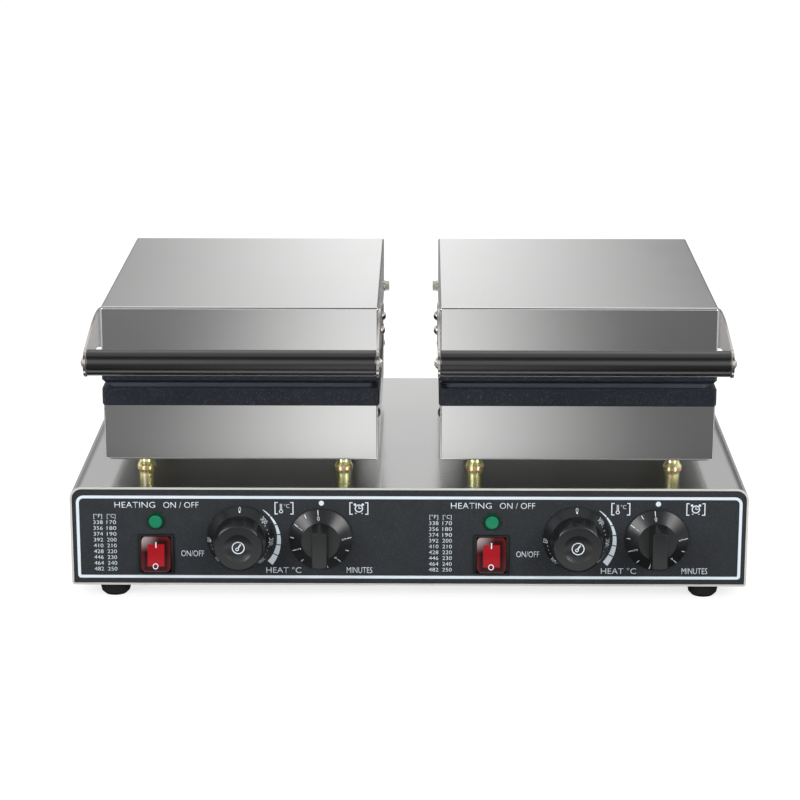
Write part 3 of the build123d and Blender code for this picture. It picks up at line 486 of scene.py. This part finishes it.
# %% Coated castings
def speckled(name, colour, fleck, values, scale, depth, rarity, painted_light_band=None):
    """A dark coat with a fine skin and rare pale flecks. A painted light band is a strip painted paler as a
    highlight, with its height and front.
    """
    coat = Finish(name, values)
    skin = coat.noise(scale, 3.0)
    patch = coat.noise(patch_scale, 2.0)
    flecks = coat.step(coat.noise(scale * 1.1, 0.0), rarity, rarity + 0.08)
    shade = coat.mix(flecks, coat.mix(patch, shaded(colour, 0.8), shaded(colour, 1.25)), rgb(*fleck))
    if painted_light_band:
        low, high, front = painted_light_band
        # Painted highlight: the seal frame's strip is painted paler near its front, where light would catch it.
        strip = coat.within(coat.along("Z"), (low, low + painted_light_soft), (high - painted_light_soft, high))
        ahead = 1 - coat.step(coat.along("Y"), front, front + 1 * mm)
        shade = coat.mix(strip * ahead, shade, rgb(0.05, 0.056, 0.075))
    coat.vary(Base_Color=shade, Roughness=values["Roughness"] + 0.14 * (patch - 0.5))
    coat.relief(skin, depth)
    return coat.material


patch_scale = 60
plate_low, plate_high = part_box("right_lower_plate")
painted_light_height = 3.4 * mm
painted_light_depth = 6 * mm
painted_light_soft = 0.2 * mm
painted_light_band = (plate_high.z - painted_light_height, plate_high.z, plate_low.y + painted_light_depth)
finishes["cast_black"] = speckled(
    "cast_black", colour=(0.01, 0.0125, 0.019), fleck=(0.12, 0.14, 0.17),
    values={"Roughness": 0.36, "Specular IOR Level": 0.32}, scale=1300, depth=0.012 * mm, rarity=0.7, painted_light_band=painted_light_band)
finishes["panel_black"] = speckled(
    "panel_black", colour=(0.021, 0.024, 0.028), fleck=(0.06, 0.066, 0.074),
    values={"Roughness": 0.6, "Specular IOR Level": 0.22}, scale=1900, depth=0.02 * mm, rarity=0.68)
print("coated finishes made")

# %% [markdown]
# The grips are a glossy black tube, while the knobs, the switch frame and the cable gland are moulded in satin
# black plastic. All are nearly colourless, so only the roughness and a faint moulding skin tell them apart.

# %% Black plastics
moulding_scale = 900
handling_scale = 35


def moulded(name, colour, roughness, depth, gloss=0.3):
    """A plastic or rubber with a faint skin, a little darker and smoother in broad random patches."""
    plastic = Finish(name, {"Specular IOR Level": gloss})
    skin = plastic.noise(moulding_scale, 2.0)
    handling = plastic.noise(handling_scale, 3.0)
    plastic.vary(Base_Color=plastic.mix(handling, shaded(colour, 0.85), rgb(*colour)),
                 Roughness=roughness + 0.1 * (handling - 0.5))
    plastic.relief(skin, depth)
    return plastic.material


finishes["grip_black"] = moulded("grip_black", (0.003, 0.003, 0.003), roughness=0.25, depth=0.001 * mm, gloss=0.9)
finishes["knob_black"] = moulded("knob_black", (0.009, 0.01, 0.011), roughness=0.3, depth=0.003 * mm, gloss=0.5)
finishes["switch_black"] = moulded("switch_black", (0.01, 0.01, 0.011), roughness=0.35, depth=0.003 * mm)
finishes["gland_black"] = moulded("gland_black", (0.02, 0.02, 0.02), roughness=0.45, depth=0.01 * mm)
finishes["foot_rubber"] = moulded("foot_rubber", (0.016, 0.016, 0.016), roughness=0.6, depth=0.02 * mm)
finishes["control_grey"] = moulded("control_grey", (0.22, 0.22, 0.22), roughness=0.5, depth=0.01 * mm)
finishes["block_ceramic"] = moulded("block_ceramic", (0.75, 0.72, 0.65), roughness=0.4, depth=0.01 * mm)
print("plastics made")

# %% [markdown]
# The posts and their nuts have a yellow chromate coat on zinc. It shows faint rainbow streaks: gold, green and
# pink. A colour ramp over a noise that is stretched along the post gives them, with near-white and dark olive
# stops that are painted highlights and painted dark reflections. The rim on which each post stands takes a copper
# tint.

# %% Chromated posts
collar_top = base_top + 0.8 * mm
streak_scale = 400
streak_stretch = (1.0, 1.0, 0.1)
zinc = Finish("zinc_yellow", {"Metallic": 0.6})
streak = zinc.noise(streak_scale, 0.5, streak_stretch)
# The near-white stops are painted highlights and the dark olive stop a painted dark reflection, among the real gold,
# green and pink tints.
tints_and_highlights = [(0.3, (0.3, 0.27, 0.1)), (0.42, (0.66, 0.62, 0.2)), (0.5, (1.0, 0.98, 0.6)), (0.57, (0.5, 0.58, 0.18)),
         (0.66, (0.9, 0.62, 0.46)), (0.75, (1.0, 0.93, 0.8))]
rainbow_and_highlights = zinc.node("ValToRGB", {"stops": tints_and_highlights}, {"Fac": streak})
collar = 1 - zinc.step(zinc.along("Z"), collar_top, collar_top + 0.6 * mm)
zinc.vary(Base_Color=zinc.mix(collar, rainbow_and_highlights, rgb(0.5, 0.31, 0.17)),
          Roughness=0.12 + 0.1 * zinc.noise(streak_scale))
finishes["zinc_yellow"] = zinc.material

wear_scale = 500
screw = Finish("screw_steel", {"Metallic": 1.0})
wear = screw.noise(wear_scale, 2.0)
screw_tint = screw.mix(wear, rgb(0.5, 0.47, 0.4), rgb(0.68, 0.66, 0.6))
screw.vary(Base_Color=screw_tint, Roughness=0.14 + 0.18 * wear)
finishes["screw_steel"] = screw.material
print("plated finishes made")

# %% [markdown]
# The pieces inside show only through the vents, at the hinge end and when a lid stands open: the sheath of the
# heating elements, browned by heat, and the white fibre pad of the lid. Simple two-tone noises are enough.

# %% Inner pieces
heat_scale = 120
fibre_scale = 900
fibre_stretch = (0.2, 1.0, 1.0)

sheath = Finish("heater_steel", {"Metallic": 1.0})
heat = sheath.noise(heat_scale, 3.0)
sheath.vary(Base_Color=sheath.mix(heat, rgb(0.3, 0.27, 0.22), rgb(0.2, 0.21, 0.24)), Roughness=0.35 + 0.2 * heat)
finishes["heater_steel"] = sheath.material

pad = Finish("pad_fibre", {"Roughness": 0.95, "Specular IOR Level": 0.1})
fibre = pad.noise(fibre_scale, 4.0, fibre_stretch)
pad.vary(Base_Color=pad.mix(fibre, rgb(0.7, 0.69, 0.64), rgb(0.88, 0.87, 0.83)))
pad.relief(fibre, 0.3 * mm)
finishes["pad_fibre"] = pad.material
print("inner finishes made")

# %% [markdown]
# The rocker of the switch is a smoked red lens with a small lamp behind it. The real one glows through a clear
# window in its middle and the thick edges look almost black. A grey sheen on the upper left corner is a painted
# highlight, with a little coat there. The window is drawn in the finish as a soft-edged rectangle round each
# rocker's axis, which both rockers share because the pattern is measured from the nearer one.

# %% Lit rocker
def from_nearer(finish, places):
    """How far right and how far up a spot lies from the nearer of two places, one on each side."""
    split = (places["left"].x + places["right"].x) / 2
    pitch = places["right"].x - places["left"].x
    on_right = finish.along("X") > split
    aside = finish.along("X") - places["left"].x - pitch * on_right
    return aside, finish.along("Z") - places["left"].z


window_half_width = 6.2 * mm
window_half_height = 8.1 * mm
window_edge = 0.5 * mm
painted_sheen_up = (1.5 * mm, 13.5 * mm)
painted_sheen_aside = (-12.5 * mm, 3 * mm)
thick_across = (7.0 * mm, 11.0 * mm)
thick_away = (9.5 * mm, 13.5 * mm)

rocker_place = {side: joint_place(f"{side}_rocker_tilt") for side in SIDES}
lens = Finish("rocker_red", {"Roughness": 0.2, "Specular IOR Level": 0.15, "Coat Roughness": 0.1,
                             "Emission Strength": 1.0})
aside, up = from_nearer(lens, rocker_place)
across = lens.math("ABSOLUTE", aside)
away = lens.math("ABSOLUTE", up)
# Painted highlight: a pale grey patch with a little coat on the upper left of the border.
painted_sheen = lens.step(up, *painted_sheen_up) * (1 - lens.step(aside, *painted_sheen_aside))
beside = lens.step(across, window_half_width - window_edge, window_half_width + window_edge)
above = lens.step(away, window_half_height - window_edge, window_half_height + window_edge)
window = (1 - beside) * (1 - above)
thick = lens.math("MINIMUM", lens.step(across, *thick_across) + lens.step(away, *thick_away), 1.0)
border = lens.mix(painted_sheen, lens.mix(thick, rgb(0.02, 0.003, 0.004), rgb(0.1, 0.008, 0.009)), rgb(0.42, 0.34, 0.35))
lens.vary(Base_Color=lens.mix(window, border, rgb(0.23, 0.006, 0.01)), Coat_Weight=0.3 * painted_sheen,
          Emission_Color=lens.mix(window, rgb(0.0), rgb(0.11, 0.002, 0.004)))
finishes["rocker_red"] = lens.material
print("rocker finish made")

# %% [markdown]
# The green lens of the indicator lamp is made in the same way: a disc with a fine woven pattern inside a dark
# ring. Two sine waves that run across each other give the weave without any texture picture.

# %% Green lamp
lens_radius = 4.95 * mm
weave_pitch = 1.5 * mm
weave_count = math.tau / weave_pitch

lamp_place = {side: middle(f"{side}_indicator_lamp") for side in SIDES}
glass = Finish("lamp_green", {"Roughness": 0.35, "Specular IOR Level": 0.2, "Emission Strength": 1.0})
aside, up = from_nearer(glass, lamp_place)
far = glass.math("SQRT", aside * aside + up * up)
disc = 1 - glass.step(far, lens_radius - 0.3 * mm, lens_radius + 0.1 * mm)
weave = glass.math("SINE", (aside + up) * weave_count) * glass.math("SINE", (aside - up) * weave_count)
lens_green = glass.mix(0.5 + 0.5 * weave, rgb(0.002, 0.1, 0.045), rgb(0.008, 0.24, 0.12))
glass.vary(Base_Color=glass.mix(disc, rgb(0.003, 0.035, 0.02), lens_green),
           Emission_Color=glass.mix(disc, rgb(0.0), rgb(0.0, 0.03, 0.013)))
finishes["lamp_green"] = glass.material
print("lamp finish made")

# %% [markdown]
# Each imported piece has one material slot, and the record says which finish belongs in it. Assigning in a loop
# from the record means that no piece is forgotten, and the print shows that every slot has found a finish. The
# handles would stand as a dark image in the polished lid fronts right behind them, so mirrored rays pass them by.

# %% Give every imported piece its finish
slots = {entry["node"]: entry["material_slot"] for entry in frame["record"]["subparts"]}
own_finish = {f"{side}_handle_arms": "arm_steel" for side in SIDES}
for name, node in nodes.items():
    node.data.materials.clear()
    node.data.materials.append(finishes[own_finish.get(name, slots[name])])
    if "handle" in name:
        node.visible_glossy = False
    if name.endswith("handle_grip"):
        for face in node.data.polygons:
            face.use_smooth = True
print("finished pieces:", len(nodes), "finishes used:", len(set(slots.values())))

# %% [markdown]
# The panel and the dials carry pale screen print: a border line, number columns, dial figures and a few signs.
# A picture texture would be the quick way, but it would need an image. Here each print is a thin sheet of ink,
# cut out as flat outlines in millimetres and then laid on the surface below it, so it follows cones and hollows.

# %% Ink outlines
def mesh_of(curve):
    """The filled mesh of a flat curve or a line of text."""
    shape = bpy.data.objects.new("shape", curve)
    mesh = bpy.data.meshes.new_from_object(shape)
    bpy.data.objects.remove(shape)
    return mesh


class Ink:
    """Flat print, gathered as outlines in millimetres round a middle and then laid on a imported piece."""

    thickness = 0.06 * mm
    lift = 0.02 * mm
    longest_edge = 0.9

    def __init__(self):
        self.loops = []
        self.mesh = bmesh.new()

    def add(self, *loops):
        """Closed outlines of (across, up) points. One that lies inside another is a hole."""
        self.loops += loops

    def words(self, text, across, up, height, width=None, turn=0.0, condense=1.0):
        """A line of text, centred, with its height and, if given, its width. turn is clockwise, in degrees."""
        curve = bpy.data.curves.new("words", "FONT")
        curve.body = text
        curve.resolution_u = 3
        curve.offset = -0.005
        mesh = mesh_of(curve)
        spots = [vertex.co for vertex in mesh.vertices]
        low = Vector(map(min, *spots))
        high = Vector(map(max, *spots))
        scale_up = height / (high.y - low.y)
        scale_across = width / (high.x - low.x) if width else scale_up * condense
        mesh.transform(Matrix.Translation(-(low + high) / 2))
        mesh.transform(Matrix.Diagonal((scale_across, scale_up, 1, 1)))
        mesh.transform(Matrix.Rotation(-math.radians(turn), 4, "Z"))
        mesh.transform(Matrix.Translation((across, up, 0)))
        self.mesh.from_mesh(mesh)

    def gather(self):
        """Fills the outlines and adds them to the ink."""
        if self.loops:
            curve = bpy.data.curves.new("outlines", "CURVE")
            curve.dimensions = "2D"
            curve.fill_mode = "BOTH"
            for loop in self.loops:
                spline = curve.splines.new("POLY")
                spline.points.add(len(loop) - 1)
                for point, (across, up) in zip(spline.points, loop):
                    point.co = (across, up, 0, 1)
                spline.use_cyclic_u = True
            self.mesh.from_mesh(mesh_of(curve))

    def split_long_edges(self):
        long = [edge for edge in self.mesh.edges if edge.calc_length() > self.longest_edge]
        while long:
            bmesh.ops.subdivide_edges(self.mesh, edges=long, cuts=1)
            bmesh.ops.triangulate(self.mesh, faces=self.mesh.faces)
            long = [edge for edge in self.mesh.edges if edge.calc_length() > self.longest_edge]

    def lay(self, name, centre, node, body, finish, curved=False):
        """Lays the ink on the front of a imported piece, round a centre in metres."""
        self.gather()
        bmesh.ops.remove_doubles(self.mesh, verts=self.mesh.verts, dist=0.002)
        if curved:
            bmesh.ops.triangulate(self.mesh, faces=self.mesh.faces)
            self.split_long_edges()
        carrier = nodes[node].data
        surface = BVHTree.FromPolygons([v.co for v in carrier.vertices], [p.vertices for p in carrier.polygons])
        ahead = cad_box[0].y - 1
        for vertex in self.mesh.verts:
            across = centre.x + vertex.co.x * mm
            up = centre.z + vertex.co.y * mm
            hit = surface.ray_cast(Vector((across, ahead, up)), Vector((0, 1, 0)))[0]
            vertex.co = (across, hit.y - self.lift, up)
        bmesh.ops.recalc_face_normals(self.mesh, faces=self.mesh.faces)
        back = [face for face in self.mesh.faces if face.normal.y > 0]
        bmesh.ops.reverse_faces(self.mesh, faces=back)
        front = list(self.mesh.faces)
        behind = bmesh.ops.extrude_face_region(self.mesh, geom=front, use_keep_orig=True)["geom"]
        for vertex in [item for item in behind if isinstance(item, bmesh.types.BMVert)]:
            vertex.co.y += self.thickness
        mesh = bpy.data.meshes.new(name)
        self.mesh.to_mesh(mesh)
        self.mesh.free()
        mesh.materials.append(finish)
        piece = bpy.data.objects.new(name, mesh)
        scene.collection.objects.link(piece)
        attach(piece, body)
        print(name, len(mesh.polygons), "faces")


white = Finish("print_white", {"Roughness": 0.45})
density = white.noise(2500, 1.0)
white.vary(Base_Color=white.mix(density, rgb(0.6, 0.68, 0.74), rgb(0.74, 0.81, 0.87)))
white_print = white.material

# %% [markdown]
# Most marks come from three outlines: a ring's circle, a bar at any angle and a piece of an arc. Each helper
# returns closed loops of points, so a ring is simply two circles, the smaller one being its hole.

# %% Outlines that repeat
def polar(radius, degrees):
    """A point at an angle clockwise from straight up."""
    angle = math.radians(degrees)
    return radius * math.sin(angle), radius * math.cos(angle)


def circle(radius, across=0.0, up=0.0, corners=40):
    angles = [step * math.tau / corners for step in range(corners)]
    return [(across + radius * math.cos(angle), up + radius * math.sin(angle)) for angle in angles]


def ring(outer, width, across=0.0, up=0.0):
    return [circle(outer, across, up), circle(outer - width, across, up)]


def bar(x0, x1, y0, y1):
    return [(x0, y0), (x1, y0), (x1, y1), (x0, y1)]


def spoke(inner, outer, degrees, width):
    """A bar that points away from the middle."""
    along = Vector(polar(1.0, degrees))
    aside = Vector((along.y, -along.x)) * width / 2
    return [tuple(along * inner - aside), tuple(along * inner + aside), tuple(along * outer + aside),
            tuple(along * outer - aside)]


def arc_piece(inner, outer_start, outer_end, start, end, corners=8):
    """A piece of an arc that can grow wider on its way."""
    steps = [step / corners for step in range(corners + 1)]
    outside = [polar(outer_start + (outer_end - outer_start) * t, start + (end - start) * t) for t in steps]
    inside = [polar(inner, start + (end - start) * t) for t in reversed(steps)]
    return outside + inside


def rounded_frame(x0, x1, y0, y1, radius_low, radius_high, corners=8):
    """A rectangle with round corners, counter-clockwise from its lower right corner."""
    loop = []
    spots = [(x1, y0, -1, 1, radius_low, -90), (x1, y1, -1, -1, radius_high, 0), (x0, y1, 1, -1, radius_high, 90),
             (x0, y0, 1, 1, radius_low, 180)]
    for x, y, to_x, to_y, radius, start in spots:
        across, up = x + to_x * radius, y + to_y * radius
        for step in range(corners + 1):
            angle = math.radians(start + 90 * step / corners)
            loop.append((across + radius * math.cos(angle), up + radius * math.sin(angle)))
    return loop


print("outline helpers ready")

# %% [markdown]
# The border line runs round the whole panel, a little way in from the steel rim, with rounder corners at the top
# where the case is bent. It is one frame with a smaller frame as its hole.

# %% Border line
line_width = 2.2
line_side = 4.55
line_top = 6.4
line_foot = 5.3
outer_radii = (2.4, 5.6)
inner_radii = (0.8, 3.4)
half = (base_high.x - base_low.x) / mm / 2
height = (base_top - base_bottom) / mm


def panel_place(across):
    """A point on the panel's face, level with the foot of the base."""
    return Vector((across, panel_face, base_bottom))


border = Ink()
border.add(rounded_frame(-half + line_side, half - line_side, line_foot, height - line_top, *outer_radii),
           rounded_frame(-half + line_side + line_width, half - line_side - line_width, line_foot + line_width,
                         height - line_top - line_width, *inner_radii))
border.lay("panel_border_line", panel_place(0), "control_panel", "root", white_print)

# %% [markdown]
# Beside each switch stands a small conversion column, degrees Fahrenheit and Celsius. The figures are worked out
# by the formula, so the columns are always right. Short plain words say what each control does.

# %% Figures and plain words on the panel
column_f = -105.6
column_c = -95.7
column_top = 48.5
column_pitch = 4.52
figure_height = 2.9
figure_width = 7.0
first_celsius = 170
rows = 9
unit_height = 4.0
unit_width = 6.4
word_height = 4.6
word_high = 62.0
word_middle = 24.5
word_low = 11.8
words = (("HEATING", -78.0, word_high, 30.0), ("ON / OFF", -44.0, word_high, 26.0),
         ("ON/OFF", -36.0, word_middle, 17.0), ("HEAT °C", 31.3, word_low, 26.0),
         ("MINUTES", 87.5, word_low, 19.0))


def panel_words(side):
    marks = Ink()
    for row in range(rows):
        celsius = first_celsius + 10 * row
        fahrenheit = round(celsius * 9 / 5 + 32)
        up = column_top - column_pitch * row
        marks.words(str(fahrenheit), column_f, up, figure_height, figure_width)
        marks.words(str(celsius), column_c, up, figure_height, figure_width)
    for across, unit in ((column_f, "[°F]"), (column_c, "[°C]")):
        marks.words(unit, across, column_top + column_pitch, unit_height, unit_width)
    for text, across, up, width in words:
        marks.words(text, across, up, word_height, width)
    marks.lay(f"{side}_panel_figures", panel_place(head_middle[side]), "control_panel", "root", white_print)


for side in SIDES:
    panel_words(side)

# %% [markdown]
# Two small signs in square brackets say what the dials do: a thermometer and an alarm clock. They are drawn here
# from circles and bars. Beside the temperature dial a row of six blocks grows wider clockwise, for more heat, and
# a dot above the timer is its pointer.

# %% Signs on the panel
sign_up = 59.7
sign_half_width = 7.0
sign_half_height = 4.8
bracket_depth = 2.4
stroke = 0.75
heat_sign = 32.0
time_sign = 87.2


def brackets(across):
    """A pair of square brackets, each as one outline."""
    loops = []
    for way in (-1, 1):
        edge = across + way * sign_half_width
        inner = edge - way * stroke
        tip = edge - way * bracket_depth
        low, high = sign_up - sign_half_height, sign_up + sign_half_height
        loops.append([(edge, low), (edge, high), (tip, high), (tip, high - stroke), (inner, high - stroke),
                      (inner, low + stroke), (tip, low + stroke), (tip, low)])
    return loops


def thermometer(across):
    """A bulb and two sides of a stem."""
    loops = ring(1.5, 0.6, across, sign_up - 2.4)
    for x0, x1 in ((-0.75, -0.25), (0.25, 0.75)):
        loops.append(bar(across + x0, across + x1, sign_up - 0.9, sign_up + 3.4))
    return loops


def alarm_clock(across):
    """A dial with its two hands in one outline, two bells and two feet."""
    left, right, tip = across - 0.3, across + 0.3, across + 1.9
    low, middle_up, high = sign_up - 0.2, sign_up + 0.35, sign_up + 2.0
    loops = ring(3.1, 0.8, across, sign_up)
    loops.append([(left, low), (tip, low), (tip, middle_up), (right, middle_up), (right, high), (left, high)])
    for way in (-1, 1):
        loops.append(circle(0.95, across + way * 2.9, sign_up + 3.0, 16))
        loops.append(circle(0.5, across + way * 2.3, sign_up - 3.7, 12))
    return loops


def panel_signs(side):
    signs = Ink()
    signs.add(*brackets(heat_sign), *thermometer(heat_sign - 2.2))
    signs.words("°C", heat_sign + 2.0, sign_up + 1.8, 3.0)
    signs.add(*brackets(time_sign), *alarm_clock(time_sign))
    signs.lay(f"{side}_panel_signs", panel_place(head_middle[side]), "control_panel", "root", white_print)


blocks = 6
block_start = 38.0
block_turn = 16.0
block_gap = 1.6
block_inner = 27.0
block_first = 27.4
block_last = 31.6
pointer_dot = (1.9, 0.6, 27.2)


def heat_blocks(side):
    scale = Ink()
    growth = (block_last - block_first) / blocks
    for block in range(blocks):
        start = block_start + block_turn * block
        outer = block_first + growth * block
        scale.add(arc_piece(block_inner, outer, outer + growth, start, start + block_turn - block_gap))
    scale.lay(f"{side}_heat_blocks", joint_place(f"{side}_temperature_turn"), "control_panel", "root", white_print)


def timer_dot(side):
    dot = Ink()
    dot.add(circle(*pointer_dot))
    dot.lay(f"{side}_timer_dot", joint_place(f"{side}_timer_turn"), "control_panel", "root", white_print)


for side in SIDES:
    panel_signs(side)
    heat_blocks(side)
    timer_dot(side)

# %% [markdown]
# The dials are printed on their bevelled skirts. Seen from the front the temperature skirt is only a narrow band,
# because it is steep, so its figures are drawn low and wide and the laying stretches them up the bevel. The timer
# has long strokes with figures at the minutes and short strokes between. The rockers carry a bar for on and a ring
# for off, laid in the same way, because their faces are hollow.

# %% Prints on the dials
heat_steps = (0, 50, 100, 150, 200, 250, 300)
heat_angles = (0, -92, -135, -180, -223, -265, -309)
heat_height = 2.6
heat_width = 1.8
figure_radius = 23.0
dot_radius = 21.6
zero_dot = 0.6
main_dot = 0.4
small_dot = 0.32
dots_between = 4
hub_ring = (4.7, 0.7)
hub_bulb = (1.3, 0.6, -0.8, -1.2)
hub_needle = (-0.2, 3.2, 35, 1.0)
minutes = 6
minute_turn = -53.8
first_minute = -5.0
minute_radius = 17.2
minute_stroke = (19.2, 22.7)
half_minute_stroke = (19.8, 22.5)
stroke_width = 0.55
on_bar = (-0.4, 0.4, 5.3, 9.7)
off_ring = (2.1, 0.6, -0.3, -8.0)


def temperature_print(side):
    marks = Ink()
    for heat, angle in zip(heat_steps, heat_angles):
        across, up = polar(figure_radius, angle)
        marks.words(str(heat), across, up, heat_height, heat_width * len(str(heat)), turn=angle)
        marks.add(circle(zero_dot if heat == 0 else main_dot, *polar(dot_radius, angle), 12))
    for start, end in zip(heat_angles[1:], heat_angles[2:]):
        for dot in range(1, dots_between + 1):
            angle = start + (end - start) * dot / (dots_between + 1)
            marks.add(circle(small_dot, *polar(dot_radius, angle), 10))
    marks.add(*ring(*hub_ring))
    marks.add(*ring(*hub_bulb))
    marks.add(spoke(*hub_needle))
    marks.lay(f"{side}_temperature_knob_print", joint_place(f"{side}_temperature_turn"),
              f"{side}_temperature_knob", f"{side}_temperature_dial", white_print, curved=True)


def timer_print(side):
    marks = Ink()
    for minute in range(minutes):
        angle = first_minute + minute_turn * minute
        across, up = polar(minute_radius, angle)
        marks.add(spoke(*minute_stroke, angle, stroke_width))
        marks.words(str(minute), across, up, figure_height, turn=angle, condense=0.9)
        if minute < minutes - 1:
            marks.add(spoke(*half_minute_stroke, angle + minute_turn / 2, stroke_width))
    marks.lay(f"{side}_timer_knob_print", joint_place(f"{side}_timer_turn"), f"{side}_timer_knob",
              f"{side}_timer_dial", white_print, curved=True)


def rocker_print(side):
    marks = Ink()
    marks.add(bar(*on_bar))
    marks.add(*ring(*off_ring))
    marks.lay(f"{side}_rocker_print", rocker_place[side], f"{side}_switch_rocker", f"{side}_rocker",
              white_print, curved=True)


for side in SIDES:
    temperature_print(side)
    timer_print(side)
    rocker_print(side)

# %% [markdown]
# The lens of the indicator lamp has a fine pressed pattern of small pyramids that scatters the light. A bump
# texture would look flat from the side, so it is a real relief: a round grid whose height rises and falls in both
# directions, closed at its rim so that it sits on the lens.

# %% Pressed pattern of the lamp lens
pattern_radius = 4.1
pattern_pitch = 0.75
pattern_height = 0.16
pattern_step = 0.1875


def lens_pattern(side):
    grid = bmesh.new()
    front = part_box(f"{side}_indicator_lamp")[0].y
    centre = lamp_place[side]
    count = int(pattern_radius / pattern_step)
    spots = {}
    for column in range(-count, count + 1):
        for row in range(-count, count + 1):
            across, up = column * pattern_step, row * pattern_step
            if math.hypot(across, up) <= pattern_radius:
                wave_a = abs(((across + up) / pattern_pitch) % 1.0 - 0.5)
                wave_b = abs(((across - up) / pattern_pitch) % 1.0 - 0.5)
                rise = pattern_height * (1 - (wave_a + wave_b)) * mm
                spots[column, row] = grid.verts.new((centre.x + across * mm, front - rise, centre.z + up * mm))
    for column, row in list(spots):
        around = ((column, row), (column + 1, row), (column + 1, row + 1), (column, row + 1))
        corners = [spots.get(key) for key in around]
        if all(corners):
            grid.faces.new(corners)
    loose = [vertex for vertex in grid.verts if not vertex.link_faces]
    bmesh.ops.delete(grid, geom=loose, context="VERTS")
    rim = bmesh.ops.extrude_edge_only(grid, edges=[edge for edge in grid.edges if edge.is_boundary])
    for vertex in [item for item in rim["geom"] if isinstance(item, bmesh.types.BMVert)]:
        vertex.co.y = front + 0.1 * mm
    bmesh.ops.holes_fill(grid, edges=[edge for edge in grid.edges if edge.is_boundary])
    bmesh.ops.recalc_face_normals(grid, faces=grid.faces)
    mesh = bpy.data.meshes.new(f"{side}_lens_pattern")
    grid.to_mesh(mesh)
    grid.free()
    mesh.materials.append(finishes["lamp_green"])
    piece = bpy.data.objects.new(f"{side}_lens_pattern", mesh)
    scene.collection.objects.link(piece)
    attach(piece, "root")
    print(piece.name, len(mesh.polygons), "faces")


for side in SIDES:
    lens_pattern(side)
